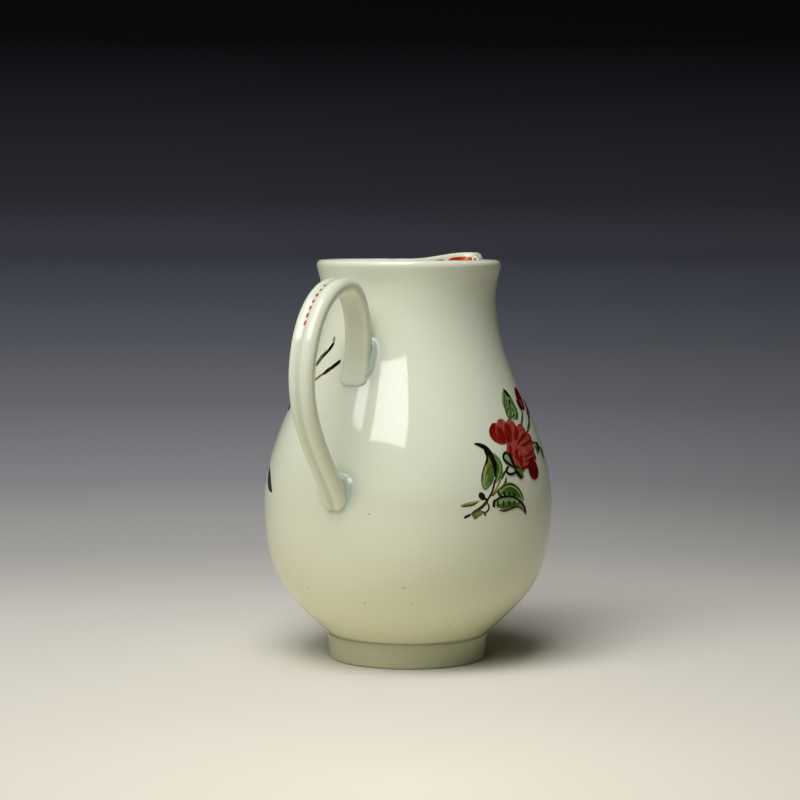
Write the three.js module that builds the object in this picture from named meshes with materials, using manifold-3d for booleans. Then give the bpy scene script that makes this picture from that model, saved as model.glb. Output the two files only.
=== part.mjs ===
// Sparrow beak jug: a small pear-shaped porcelain cream jug with a folded pouring beak and a reeded
// loop handle. Millimetres, +Z up, beak towards +X, handle towards -X, standing on Z = 0.
// The origin lies under the middle of the jug's overall length, on the surface that it stands on.

import * as THREE from 'three';
import { mergeVertices } from 'three/addons/utils/BufferGeometryUtils.js';
import Module from 'manifold-3d';

const wasm = await Module();
wasm.setup();

// Driving dimensions of the body, on its outside and from the foot upwards
const FOOT_HEIGHT = 5.7;
const BELLY_RISE = 29.3; // from the top of the foot to the widest point
const SHOULDER_RISE = 45; // from the widest point to the narrowest point of the neck
const LIP_RISE = 8; // from the narrowest point of the neck to the top of the lip
const FOOT_JOINT_RADIUS = 17.7;
const BELLY_RADIUS = 31.8;
const NECK_RADIUS = 19.2;
const RIM_RADIUS = 20.3;
const WALL = 2.4;
const FLOOR = 3.6;
const FLOOR_FILLET = 4;
const LIP_FLARE = 15; // degrees from upright
const FOOT_SLOPE = 42.7; // degrees from level, where the body leaves its foot

// How far each curve of the outside follows its end directions, as a share of its rise
const LOWER_FULLNESS = [0.39, 0.62];
const SHOULDER_FULLNESS = [0.353, 0.356];
const LIP_FULLNESS = [0.43, 0.46];

// Foot ring
const FOOT_RADIUS = 17.4; // at the bottom, where it stands
const FOOT_WIDTH = 3;
const FOOT_EDGE = 0.6; // rounding of the standing edge

// Beak, measured from the rim
const BEAK_REACH = 12.2;
const BEAK_RISE = 1.5;
const BEAK_DEPTH = 19;
const BEAK_WALL = 1.6;
const BEAK_HALF_ANGLE = 30; // degrees, seen from above
const BEAK_NOSE_ANGLE = 5; // degrees round the axis that the rounded nose takes up
const BEAK_HOLLOW = 1.3; // 1 is a straight ridge, more draws it in under the tip
const BEAK_BLEND = 2; // width of the soft corner between beak and neck

// Handle, along the middle of its strap
const STRAP_WIDTH = 5.9;
const STRAP_THICKNESS = 2.9;
const STRAP_CORNER = 0.9; // rounding of the inner face's edges
const GROOVE_DEPTH = 0.6;
const HANDLE_REACH = 45.6; // from the jug's axis to the widest point of the loop
const HANDLE_BOW_DROP = 24.1; // from the top of the lip down to that point
const HANDLE_ARCH_DROP = 4.9; // from the top of the lip down to the arch
const HANDLE_ARCH_REACH = 29.5; // from the jug's axis to the top of the arch
const HANDLE_UPPER_DROP = 20.5; // from the top of the lip down to the upper seat
const HANDLE_LOWER_RISE = 2.6; // from the widest point of the body up to the lower seat
const HANDLE_LOWER_ANGLE = 62; // degrees below level, where the strap meets the belly
const HANDLE_BURY = 9; // length of strap drawn past each seat before it is trimmed to the wall

// How far the loop's curves follow their end directions, as a share of their height or width
const RISE_FULLNESS = [0.62, 0.6];
const BOW_FULLNESS = [0.61, 0.49];
const FALL_FULLNESS = [0.42, 0.3];

// Luting slip between the clay pieces
const SLIP = 0.6;
const SLIP_MARGIN = 0.7; // how far a pad shows round the end of the strap
const UPPER_PAD_RISE = 6; // how far the upper pad follows the strap above its seat
const JOINT_GAP = 0.3; // clearance on each side of a layer of slip

// Facets
const BODY_SEGMENTS = 64;
const BEAK_SEGMENTS = 120;
const BODY_STEPS = { lower: 8, shoulder: 10, lip: 4, edge: 4, fillet: 3 };
const BEAK_STEPS = { lower: 3, shoulder: 22, lip: 8, edge: 6, fillet: 3 };
const STRAP_STEPS = 48;
const SECTION_STEPS = 5;
const FOOT_EDGE_STEPS = 2;

// Places worked out from the dimensions
const BELLY_HEIGHT = FOOT_HEIGHT + BELLY_RISE;
const NECK_HEIGHT = BELLY_HEIGHT + SHOULDER_RISE;
const RIM_HEIGHT = NECK_HEIGHT + LIP_RISE;
const LIP_RADIUS = WALL / 2;
const BEAK_ROOT_HEIGHT = RIM_HEIGHT - BEAK_DEPTH;
const BEAK_TIP = RIM_RADIUS + BEAK_REACH;
const SEAT_LAYER = JOINT_GAP + SLIP + JOINT_GAP;
const LENGTH_CENTRE = (BEAK_TIP - HANDLE_REACH - STRAP_THICKNESS / 2) / 2;

const radians = THREE.MathUtils.degToRad;
const smoothstep = THREE.MathUtils.smoothstep;
const point = (radius, height) => new THREE.Vector2(radius, height);

// Point that lies a distance from another in a direction given in degrees above level
const polar = (origin, distance, degrees) =>
  point(
    origin.x + distance * Math.cos(radians(degrees)),
    origin.y + distance * Math.sin(radians(degrees)),
  );

// Closed solid from a geometry, and a geometry from a solid
function solidOf(geometry) {
  const bare = new THREE.BufferGeometry();
  bare.setAttribute('position', geometry.getAttribute('position'));
  bare.setIndex(geometry.getIndex());
  const merged = mergeVertices(bare, 1e-4);
  const mesh = new wasm.Mesh({
    numProp: 3,
    vertProperties: new Float32Array(merged.getAttribute('position').array),
    triVerts: new Uint32Array(merged.getIndex().array),
  });
  return new wasm.Manifold(mesh);
}

function geometryOf(solid) {
  const mesh = solid.getMesh();
  const geometry = new THREE.BufferGeometry();
  geometry.setAttribute('position', new THREE.BufferAttribute(mesh.vertProperties, 3));
  geometry.setIndex(new THREE.BufferAttribute(mesh.triVerts, 1));
  geometry.computeVertexNormals();
  return geometry;
}

// Lathe turned about Z, with its first seam on the side of the handle
function turned(profile, segments) {
  const geometry = new THREE.LatheGeometry(profile, segments, -Math.PI / 2);
  return geometry.rotateX(Math.PI / 2);
}

// Middle of the rounded lip, and the point where the outside of the wall runs into it
const LIP_CENTRE = point(RIM_RADIUS - LIP_RADIUS, RIM_HEIGHT - LIP_RADIUS);
const LIP_START = polar(LIP_CENTRE, LIP_RADIUS, -LIP_FLARE);

// The three curves of the outside, from the foot to the lip
function outsideCurves() {
  const foot = point(FOOT_JOINT_RADIUS, FOOT_HEIGHT);
  const belly = point(BELLY_RADIUS, BELLY_HEIGHT);
  const neck = point(NECK_RADIUS, NECK_HEIGHT);
  const lipRise = LIP_START.y - NECK_HEIGHT;
  return {
    lower: new THREE.CubicBezierCurve(
      foot,
      polar(foot, LOWER_FULLNESS[0] * BELLY_RISE, FOOT_SLOPE),
      point(BELLY_RADIUS, BELLY_HEIGHT - LOWER_FULLNESS[1] * BELLY_RISE),
      belly,
    ),
    shoulder: new THREE.CubicBezierCurve(
      belly,
      point(BELLY_RADIUS, BELLY_HEIGHT + SHOULDER_FULLNESS[0] * SHOULDER_RISE),
      point(NECK_RADIUS, NECK_HEIGHT - SHOULDER_FULLNESS[1] * SHOULDER_RISE),
      neck,
    ),
    lip: new THREE.CubicBezierCurve(
      neck,
      point(NECK_RADIUS, NECK_HEIGHT + LIP_FULLNESS[0] * lipRise),
      polar(LIP_START, LIP_FULLNESS[1] * lipRise, -90 - LIP_FLARE),
      LIP_START,
    ),
  };
}

// Points up the outside of the body, moved out square to it by an offset
function outside(steps, offset) {
  const points = [];
  for (const [name, curve] of Object.entries(outsideCurves())) {
    const first = points.length > 0 ? 1 : 0;
    for (let step = first; step <= steps[name]; step += 1) {
      const place = curve.getPoint(step / steps[name]);
      const along = curve.getTangent(step / steps[name]);
      points.push(point(place.x + offset * along.y, place.y - offset * along.x));
    }
  }
  return points;
}

// Radius of a line of points at a height
function radiusAt(line, height) {
  const upper = line.findIndex((place) => place.y >= height);
  const next = line[Math.max(upper, 1)];
  const last = line[Math.max(upper, 1) - 1];
  return THREE.MathUtils.mapLinear(height, last.y, next.y, last.x, next.x);
}

// Section of the whole vessel from the middle of its underside to the middle of its floor. Depth is
// 0 on the outside, 1 on the inside and between them across the lip.
function vesselSection(steps) {
  const floorTop = FOOT_HEIGHT + FLOOR;
  const section = [];
  const put = (place, depth) => section.push({ place, depth });
  put(point(0, FOOT_HEIGHT), 0);
  outside(steps, 0).forEach((place) => put(place, 0));
  for (let step = 1; step <= steps.edge; step += 1) {
    const turn = step / steps.edge;
    put(polar(LIP_CENTRE, LIP_RADIUS, 180 * turn - LIP_FLARE), turn);
  }
  const inside = outside(steps, -WALL);
  const wall = inside.filter((place) => place.y > floorTop + FLOOR_FILLET).slice(0, -1);
  wall.reverse().forEach((place) => put(place, 1));
  const corner = point(radiusAt(inside, floorTop), floorTop);
  const fillet = new THREE.QuadraticBezierCurve(
    wall[wall.length - 1],
    corner,
    point(corner.x - FLOOR_FILLET, floorTop),
  );
  fillet.getPoints(steps.fillet).slice(1).forEach((place) => put(place, 1));
  put(point(0, floorTop), 1);
  return section;
}

// Filled shape of the outside, grown by an offset, to trim what is set on the wall
function outsideSolid(offset) {
  const wall = outside(BODY_STEPS, offset);
  const profile = [point(0, wall[0].y), ...wall, point(0, wall[wall.length - 1].y)];
  return solidOf(turned(profile, BODY_SEGMENTS));
}

// Larger of two radii, with the corner between them rounded over the blend
function softLarger(first, second) {
  const overlap = Math.max(BEAK_BLEND - Math.abs(first - second), 0) / BEAK_BLEND;
  return Math.max(first, second) + (overlap * overlap * BEAK_BLEND) / 4;
}

// How far the beak's ridge stands out from the wall at a height, as a share of its reach at the lip
function ridgeShare(height) {
  const climb = (height - BEAK_ROOT_HEIGHT) / (LIP_START.y - BEAK_ROOT_HEIGHT);
  return Math.sign(climb) * Math.abs(climb) ** BEAK_HOLLOW;
}

// Radius of one flat side of the fold, at an angle round the axis from the beak
function foldRadius(reach, angle) {
  const half = radians(BEAK_HALF_ANGLE);
  const nose = radians(BEAK_NOSE_ANGLE);
  const away = Math.hypot(angle, nose) - nose;
  return (reach * Math.sin(half)) / Math.sin(Math.min(half + away, Math.PI / 2));
}

// The vessel with its front drawn out into the beak, from which the beak and its slip are cut
function beakedVessel() {
  const section = vesselSection(BEAK_STEPS);
  const geometry = turned(section.map((entry) => entry.place), BEAK_SEGMENTS);
  const position = geometry.getAttribute('position');
  const outer = outside(BEAK_STEPS, 0);
  const inner = outside(BEAK_STEPS, -WALL);
  const innerReach = BEAK_REACH + WALL - BEAK_WALL / Math.sin(radians(BEAK_HALF_ANGLE));
  const drawnOut = (wall, reach, lipHeight, angle) => {
    const height = Math.min(lipHeight, LIP_START.y);
    const radius = radiusAt(wall, height);
    const ridge = radius + reach * ridgeShare(height);
    return softLarger(radius, foldRadius(ridge, angle)) - radius;
  };
  for (let index = 0; index < position.count; index += 1) {
    const { place, depth } = section[index % section.length];
    const angle = Math.atan2(position.getY(index), position.getX(index));
    if (place.y < BEAK_ROOT_HEIGHT - BEAK_BLEND || Math.abs(angle) > Math.PI / 2) continue;
    const radius = place.x
      + (1 - depth) * drawnOut(outer, BEAK_REACH, place.y, angle)
      + depth * drawnOut(inner, innerReach, place.y, angle);
    const towardsTip = (foldRadius(BEAK_TIP, angle) - RIM_RADIUS) / BEAK_REACH;
    const climb = smoothstep(place.y, BEAK_ROOT_HEIGHT, RIM_HEIGHT);
    const rise = BEAK_RISE * smoothstep(towardsTip, 0, 1) * climb;
    position.setXYZ(index, radius * Math.cos(angle), radius * Math.sin(angle), place.y + rise);
  }
  return solidOf(geometry);
}

// V-shaped cutter of the notch in the rim, wide enough for the beak's soft corners and grown sideways
function notchCutter(growth) {
  const half = radians(BEAK_HALF_ANGLE);
  const reach = Math.min((BEAK_TIP * Math.sin(half)) / (RIM_RADIUS - BEAK_BLEND), 1);
  const halfWidth = RIM_RADIUS * Math.sin(Math.asin(reach) - half + radians(BEAK_NOSE_ANGLE));
  const depth = BEAK_DEPTH + BEAK_BLEND;
  const slope = halfWidth / depth;
  const top = RIM_HEIGHT + BEAK_RISE + WALL;
  const bottom = RIM_HEIGHT - depth - growth * Math.hypot(1, 1 / slope);
  const round = BEAK_BLEND / slope;
  const shape = new THREE.Shape();
  shape.moveTo(-slope * (top - bottom), top);
  shape.lineTo(-slope * round, bottom + round);
  shape.quadraticCurveTo(0, bottom, slope * round, bottom + round);
  shape.lineTo(slope * (top - bottom), top);
  shape.closePath();
  const depthAlongX = BEAK_TIP + WALL;
  const geometry = new THREE.ExtrudeGeometry(shape, {
    depth: depthAlongX,
    bevelEnabled: false,
    curveSegments: SECTION_STEPS,
  });
  const axes = new THREE.Matrix4().makeBasis(
    new THREE.Vector3(0, 1, 0),
    new THREE.Vector3(0, 0, 1),
    new THREE.Vector3(1, 0, 0),
  );
  return solidOf(geometry.applyMatrix4(axes));
}

// Body, beak and the slip between them
function vesselPieces() {
  const vessel = solidOf(turned(vesselSection(BODY_STEPS).map((entry) => entry.place), BODY_SEGMENTS));
  const beaked = beakedVessel();
  const slipRegion = notchCutter(JOINT_GAP + SLIP).subtract(notchCutter(JOINT_GAP));
  return {
    body: vessel.subtract(notchCutter(SEAT_LAYER)),
    beak: beaked.intersect(notchCutter(0)),
    slip: beaked.intersect(slipRegion),
  };
}

// Ring with a flat top against the body and a rounded standing edge
function footRing() {
  const innerRadius = FOOT_RADIUS - FOOT_WIDTH;
  const outline = new THREE.Path();
  outline.moveTo(innerRadius, FOOT_HEIGHT);
  outline.lineTo(innerRadius, FOOT_EDGE);
  outline.absarc(innerRadius + FOOT_EDGE, FOOT_EDGE, FOOT_EDGE, Math.PI, 1.5 * Math.PI);
  outline.lineTo(FOOT_RADIUS - FOOT_EDGE, 0);
  outline.absarc(FOOT_RADIUS - FOOT_EDGE, FOOT_EDGE, FOOT_EDGE, 1.5 * Math.PI, 2 * Math.PI);
  outline.lineTo(FOOT_JOINT_RADIUS, FOOT_HEIGHT);
  outline.closePath();
  return solidOf(turned(outline.getPoints(FOOT_EDGE_STEPS), BODY_SEGMENTS));
}

// Section of a strap, grown by an offset: two round reeds on the loop's outer side (+Y of the
// section), a groove between them, and a flat inner face with rounded edges. With no groove the
// outer side is one half round.
function strapSection(groove, growth) {
  const reed = STRAP_WIDTH / 2 + groove - Math.sqrt(STRAP_WIDTH * groove);
  const centreX = STRAP_WIDTH / 2 - reed;
  const centreY = STRAP_THICKNESS / 2 - reed;
  const radius = reed + growth;
  const halfWidth = STRAP_WIDTH / 2 + growth;
  const back = -STRAP_THICKNESS / 2 - growth;
  const corner = STRAP_CORNER + growth;
  const valley = Math.acos(centreX / radius);
  const shape = new THREE.Shape();
  shape.moveTo(-halfWidth + corner, back);
  shape.lineTo(halfWidth - corner, back);
  shape.quadraticCurveTo(halfWidth, back, halfWidth, Math.min(back + corner, centreY));
  shape.absarc(centreX, centreY, radius, 0, Math.PI - valley);
  shape.absarc(-centreX, centreY, radius, valley, Math.PI);
  shape.lineTo(-halfWidth, Math.min(back + corner, centreY));
  shape.quadraticCurveTo(-halfWidth, back, -halfWidth + corner, back);
  return shape;
}

// Middle line of the strap: up the neck, over the arch, out to the bow and down to the belly
function handleCurves() {
  const wall = outside(BODY_STEPS, 0);
  const upperHeight = RIM_HEIGHT - HANDLE_UPPER_DROP;
  const lowerHeight = BELLY_HEIGHT + HANDLE_LOWER_RISE;
  const upper = point(radiusAt(wall, upperHeight), upperHeight);
  const arch = point(HANDLE_ARCH_REACH, RIM_HEIGHT - HANDLE_ARCH_DROP);
  const bow = point(HANDLE_REACH, RIM_HEIGHT - HANDLE_BOW_DROP);
  const lower = point(radiusAt(wall, lowerHeight), lowerHeight);
  const inSpace = (place) => new THREE.Vector3(-place.x, 0, place.y);
  const bend = (...places) => new THREE.CubicBezierCurve3(...places.map(inSpace));
  const line = (from, to) => new THREE.LineCurve3(inSpace(from), inSpace(to));
  const rise = arch.y - upper.y;
  const fall = bow.y - lower.y;
  return {
    upperEnd: line(point(upper.x, upper.y - HANDLE_BURY), upper),
    rise: bend(
      upper,
      point(upper.x, upper.y + RISE_FULLNESS[0] * rise),
      point(arch.x - RISE_FULLNESS[1] * (arch.x - upper.x), arch.y),
      arch,
    ),
    over: bend(
      arch,
      point(arch.x + BOW_FULLNESS[0] * (bow.x - arch.x), arch.y),
      point(bow.x, bow.y + BOW_FULLNESS[1] * (arch.y - bow.y)),
      bow,
    ),
    fall: bend(
      bow,
      point(bow.x, bow.y - FALL_FULLNESS[0] * fall),
      polar(lower, FALL_FULLNESS[1] * fall, HANDLE_LOWER_ANGLE),
      lower,
    ),
    lowerEnd: line(lower, polar(lower, HANDLE_BURY, HANDLE_LOWER_ANGLE + 180)),
    upperPad: line(
      point(upper.x, upper.y - HANDLE_BURY),
      point(upper.x, upper.y + UPPER_PAD_RISE),
    ),
    lowerPad: line(
      polar(lower, HANDLE_BURY, HANDLE_LOWER_ANGLE),
      polar(lower, HANDLE_BURY, HANDLE_LOWER_ANGLE + 180),
    ),
  };
}

function sweep(section, path, steps) {
  const geometry = new THREE.ExtrudeGeometry(section, {
    steps,
    bevelEnabled: false,
    curveSegments: SECTION_STEPS,
    extrudePath: path,
  });
  return solidOf(geometry);
}

// Handle and the two pads of slip that hold it
function handlePieces() {
  const curves = handleCurves();
  const loop = new THREE.CurvePath();
  for (const name of ['upperEnd', 'rise', 'over', 'fall', 'lowerEnd']) {
    loop.add(curves[name]);
  }
  const skin = outsideSolid(JOINT_GAP + SLIP).subtract(outsideSolid(JOINT_GAP));
  const padSection = strapSection(0, SLIP_MARGIN);
  return {
    handle: sweep(strapSection(GROOVE_DEPTH, 0), loop, STRAP_STEPS).subtract(outsideSolid(SEAT_LAYER)),
    upperPad: sweep(padSection, curves.upperPad, 1).intersect(skin),
    lowerPad: sweep(padSection, curves.lowerPad, 1).intersect(skin),
  };
}

const jug = new THREE.Group();
jug.position.x = -LENGTH_CENTRE;

function addPiece(name, solid, colour, roughness) {
  const material = new THREE.MeshStandardMaterial({ color: colour, roughness, metalness: 0 });
  const mesh = new THREE.Mesh(geometryOf(solid), material);
  mesh.name = name;
  jug.add(mesh);
}

const GLAZE = '#dcdfd3';
const POOLED_GLAZE = '#cdd6d0';
const FOOT_GLAZE = '#cfcfbd';
const GLOSS = 0.12;
const SATIN = 0.3;

const vessel = vesselPieces();
const handle = handlePieces();
addPiece('body', vessel.body, GLAZE, GLOSS);
addPiece('foot_ring', footRing(), FOOT_GLAZE, SATIN);
addPiece('sparrow_beak', vessel.beak, GLAZE, GLOSS);
addPiece('beak_slip', vessel.slip, POOLED_GLAZE, GLOSS);
addPiece('handle', handle.handle, GLAZE, GLOSS);
addPiece('upper_handle_slip', handle.upperPad, POOLED_GLAZE, GLOSS);
addPiece('lower_handle_slip', handle.lowerPad, POOLED_GLAZE, GLOSS);

export default jug;
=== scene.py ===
"""Dresses the sparrow beak jug: glazed porcelain painted with enamel flowers, on a studio table.

Lengths are millimetres about the jug's own upright axis, where nothing else is said, and angles in
the classes' fields are degrees. The beak points to +X and the handle to -X. make_piece gives metres
in the row frame.
"""

import logging
import math
from dataclasses import dataclass, replace
from enum import Enum
from functools import cached_property, partial
from typing import Any, NamedTuple

import bmesh
import bpy
import numpy as np
from mathutils import Matrix, Vector


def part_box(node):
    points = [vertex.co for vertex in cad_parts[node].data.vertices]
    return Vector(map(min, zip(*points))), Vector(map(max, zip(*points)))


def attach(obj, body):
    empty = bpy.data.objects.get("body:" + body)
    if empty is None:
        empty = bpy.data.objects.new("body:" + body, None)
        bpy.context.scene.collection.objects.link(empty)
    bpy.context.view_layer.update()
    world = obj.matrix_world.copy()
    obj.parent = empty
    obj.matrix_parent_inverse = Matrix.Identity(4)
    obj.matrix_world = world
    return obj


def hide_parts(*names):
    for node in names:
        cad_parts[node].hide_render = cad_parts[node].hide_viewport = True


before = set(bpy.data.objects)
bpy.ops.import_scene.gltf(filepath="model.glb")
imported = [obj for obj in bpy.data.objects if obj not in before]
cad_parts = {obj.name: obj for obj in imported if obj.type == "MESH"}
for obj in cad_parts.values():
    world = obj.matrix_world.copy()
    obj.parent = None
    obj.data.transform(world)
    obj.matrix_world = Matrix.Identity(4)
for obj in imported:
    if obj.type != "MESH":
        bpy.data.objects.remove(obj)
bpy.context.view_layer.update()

LOG = logging.getLogger("sparrow_beak_jug")
MM = 0.001
FOOT_LOW, FOOT_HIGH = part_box("foot_ring")
AXIS_X = (FOOT_LOW.x + FOOT_HIGH.x) / 2
CREASE_ANGLE = math.radians(55)
SAME_SPOT = 0.002
IN_THE_GLAZE = -0.05
THINNEST_STROKE = 0.06
CURVE_STEPS = 12
OUTWARD, UPWARD = np.eye(2)

Pair = tuple[float, float]
Faces = list[tuple[int, ...]]
Sizes = dict[str, Any]
Stops = tuple[tuple[float, str], ...]

SOCKET_KINDS = {
    float: "NodeSocketFloat",
    int: "NodeSocketInt",
    Vector: "NodeSocketVector",
    bpy.types.Material: "NodeSocketMaterial",
}


def linear(hex_colour: str) -> tuple[float, float, float, float]:
    """Turns an sRGB colour into the linear one that the shaders take.

    Args:
        hex_colour: The colour as a hash and six hex digits.

    Returns:
        Linear red, green and blue, and an alpha of 1.
    """
    shares = [int(hex_colour[at : at + 2], 16) / 255 for at in (1, 3, 5)]
    red, green, blue = (
        share / 12.92 if share <= 0.04045 else ((share + 0.055) / 1.055) ** 2.4 for share in shares
    )
    return red, green, blue, 1.0


def add_node(
    tree: bpy.types.NodeTree,
    kind: str,
    inputs: dict[str | int, Any] | None = None,
    stops: Stops = (),
    **settings: Any,
) -> bpy.types.Node:
    """Adds a node with its settings and links.

    Args:
        tree: The tree that the node goes into.
        kind: The node's type name.
        inputs: For each input, by name or place, a socket that feeds it, a node whose first live
            output does, or a plain value.
        stops: Places and hex colours of a colour ramp.
        settings: Values of the node's own properties.

    Returns:
        The new node.
    """
    node = tree.nodes.new(kind)
    for name, value in settings.items():
        setattr(node, name, value)
    for key, source in (inputs or {}).items():
        if isinstance(source, bpy.types.Node):
            source = next(socket for socket in source.outputs if socket.enabled)
        if isinstance(source, bpy.types.NodeSocket):
            tree.links.new(source, node.inputs[key])
        else:
            node.inputs[key].default_value = source
    for index, (place, colour) in enumerate(stops):
        elements = node.color_ramp.elements
        element = elements[index] if index < 2 else elements.new(place)
        element.position = place
        element.color = linear(colour)
    return node


def smoothstep(value: Any, low: float, high: float) -> Any:
    """Gives the soft step from 0 at low to 1 at high."""
    share = np.clip((value - low) / (high - low), 0, 1)
    return share * share * (3 - 2 * share)


def soft_larger(first: Any, second: Any, blend: float) -> Any:
    """Gives the larger of two lengths, with the corner between them rounded over the blend."""
    overlap = np.maximum(blend - np.abs(first - second), 0) / blend
    return np.maximum(first, second) + overlap * overlap * blend / 4


def fall_off(away: Any, spread: float) -> Any:
    """Gives the bell that falls from 1 where away is 0 or less to nothing past the spread."""
    return np.exp(-((np.maximum(away, 0) / spread) ** 2))


def heading(angle: float) -> np.ndarray:
    """Gives the direction at an angle above level, as its parts outwards and upwards."""
    turn = math.radians(angle)
    return np.array([math.cos(turn), math.sin(turn)])


def bezier(
    start: np.ndarray, leave: np.ndarray, arrive: np.ndarray, end: np.ndarray, steps: int
) -> np.ndarray:
    """Gives points along a cubic curve.

    Args:
        start: Where it starts.
        leave: The guide that it leaves its start towards.
        arrive: The guide that it comes to its end from.
        end: Where it ends.
        steps: How many steps it is cut into.

    Returns:
        One row for each point.
    """
    share = np.linspace(0, 1, steps + 1)[:, None]
    rest = 1 - share
    return rest**3 * start + 3 * rest**2 * share * leave + 3 * rest * share**2 * arrive + share**3 * end


def left_of(line: np.ndarray) -> np.ndarray:
    """Gives the direction to the left of a flat line at each of its points.

    Args:
        line: Its points, one row for each.

    Returns:
        One unit row for each point.
    """
    along = np.gradient(line, axis=0)
    along = along / np.maximum(np.linalg.norm(along, axis=1)[:, None], 1e-9)
    return np.stack([-along[:, 1], along[:, 0]], axis=1)


def run_along(points: np.ndarray) -> np.ndarray:
    """Gives the length of a line up to each of its points."""
    steps = np.linalg.norm(np.diff(points, axis=0), axis=1)
    return np.concatenate([[0], np.cumsum(steps)])


def even_line(points: np.ndarray, spacing: float) -> np.ndarray:
    """Cuts a line into even steps.

    Args:
        points: Points along the line.
        spacing: About how long the steps are.

    Returns:
        The new points, with the same first and last.
    """
    along = run_along(points)
    places = np.linspace(0, along[-1], max(int(along[-1] / spacing), 3) + 1)
    return np.stack([np.interp(places, along, column) for column in points.T], axis=1)


def flowing_line(points: tuple[Pair, ...], spacing: float) -> np.ndarray:
    """Draws a smooth line through points, as a brush does.

    Args:
        points: The places that the line passes, two or more.
        spacing: Length of the line's steps.

    Returns:
        Points along the line.
    """
    path = np.array(points, float)
    ends = np.vstack([2 * path[0] - path[1], path, 2 * path[-1] - path[-2]])
    share = np.linspace(0, 1, CURVE_STEPS, endpoint=False)[:, None]
    pieces = []
    for before, start, end, after in zip(ends, ends[1:], ends[2:], ends[3:]):
        slope_in, slope_out = (end - before) / 2, (after - start) / 2
        pieces.append(
            (2 * share**3 - 3 * share**2 + 1) * start
            + (share**3 - 2 * share**2 + share) * slope_in
            + (3 * share**2 - 2 * share**3) * end
            + (share**3 - share**2) * slope_out
        )
    return even_line(np.vstack([*pieces, path[-1:]]), spacing)


def grid_faces(rows: int, columns: int, around: bool = False) -> Faces:
    """Gives the four-sided faces of a grid of points.

    Args:
        rows: How many rows of points there are.
        columns: How many points there are in a row.
        around: Whether the last point of a row joins its first.

    Returns:
        The faces, as point numbers.
    """
    faces = []
    for row in range(rows - 1):
        for column in range(columns if around else columns - 1):
            after = (column + 1) % columns
            low, high = row * columns, (row + 1) * columns
            faces.append((low + column, low + after, high + after, high + column))
    return faces


def tube_faces(rows: int, columns: int) -> Faces:
    """Gives the faces of a grid that is closed round each row and at both ends."""
    ends = [tuple(row * columns + at for at in range(columns)) for row in (0, rows - 1)]
    return grid_faces(rows, columns, around=True) + ends


class Shell(NamedTuple):
    """A skin: its points, its faces, and on enamel where each point lies under the brush."""

    points: np.ndarray
    faces: Faces
    brush: np.ndarray | None = None


def joined(shells: list[Shell]) -> tuple[np.ndarray, Faces]:
    """Joins skins into one.

    Args:
        shells: The skins.

    Returns:
        All points, and all faces as numbers of those points.
    """
    faces, start = [], 0
    for shell in shells:
        faces += [tuple(at + start for at in face) for face in shell.faces]
        start += len(shell.points)
    return np.vstack([shell.points for shell in shells]), faces


def make_piece(
    name: str,
    points: np.ndarray,
    faces: Faces,
    material: bpy.types.Material,
    marks: dict[str, np.ndarray],
) -> bpy.types.Object:
    """Makes a smooth closed piece from points about the jug's axis.

    Args:
        name: The piece's name.
        points: Its points in millimetres.
        faces: Its faces, as point numbers.
        material: Its finish.
        marks: Values or vectors at the points, which the finish reads by name.

    Returns:
        The piece, placed in the row frame.
    """
    mesh = bpy.data.meshes.new(name)
    placed = np.asarray(points, float) * MM + np.array([AXIS_X, 0, 0])
    mesh.from_pydata(placed.tolist(), [], faces)
    for mark, values in marks.items():
        values = np.asarray(values, np.float32)
        kind, slot = ("FLOAT", "value") if values.ndim == 1 else ("FLOAT_VECTOR", "vector")
        mesh.attributes.new(mark, kind, "POINT").data.foreach_set(slot, values.ravel())
    shape = bmesh.new()
    shape.from_mesh(mesh)
    bmesh.ops.remove_doubles(shape, verts=shape.verts, dist=SAME_SPOT * MM)
    bmesh.ops.recalc_face_normals(shape, faces=shape.faces)
    shape.to_mesh(mesh)
    shape.free()
    mesh.shade_smooth()
    mesh.set_sharp_from_angle(angle=CREASE_ANGLE)
    mesh.materials.append(material)
    piece = bpy.data.objects.new(name, mesh)
    bpy.context.scene.collection.objects.link(piece)
    return piece


def node_tree(name: str, sizes: Sizes) -> tuple[bpy.types.NodeTree, bpy.types.NodeOutputs]:
    """Starts a geometry node tree.

    Args:
        name: The tree's name.
        sizes: Its named inputs with their values, which set their kinds.

    Returns:
        The tree, and the sockets of its inputs.
    """
    tree = bpy.data.node_groups.new(name, "GeometryNodeTree")
    tree.interface.new_socket(name="Geometry", in_out="INPUT", socket_type="NodeSocketGeometry")
    for label, value in sizes.items():
        tree.interface.new_socket(name=label, in_out="INPUT", socket_type=SOCKET_KINDS[type(value)])
    tree.interface.new_socket(name="Geometry", in_out="OUTPUT", socket_type="NodeSocketGeometry")
    return tree, add_node(tree, "NodeGroupInput").outputs


def end_tree(
    tree: bpy.types.NodeTree, inputs: bpy.types.NodeOutputs, geometry: bpy.types.Node
) -> bpy.types.NodeTree:
    """Ends a geometry node tree with one whole mesh in its finish.

    Args:
        tree: The tree.
        inputs: The sockets of its inputs.
        geometry: The node that gives its shape.

    Returns:
        The same tree.
    """
    whole = add_node(tree, "GeometryNodeRealizeInstances", {0: geometry})
    dressed = add_node(tree, "GeometryNodeSetMaterial", {0: whole, "Material": inputs["Material"]})
    add_node(tree, "NodeGroupOutput", {0: dressed})
    return tree


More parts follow.
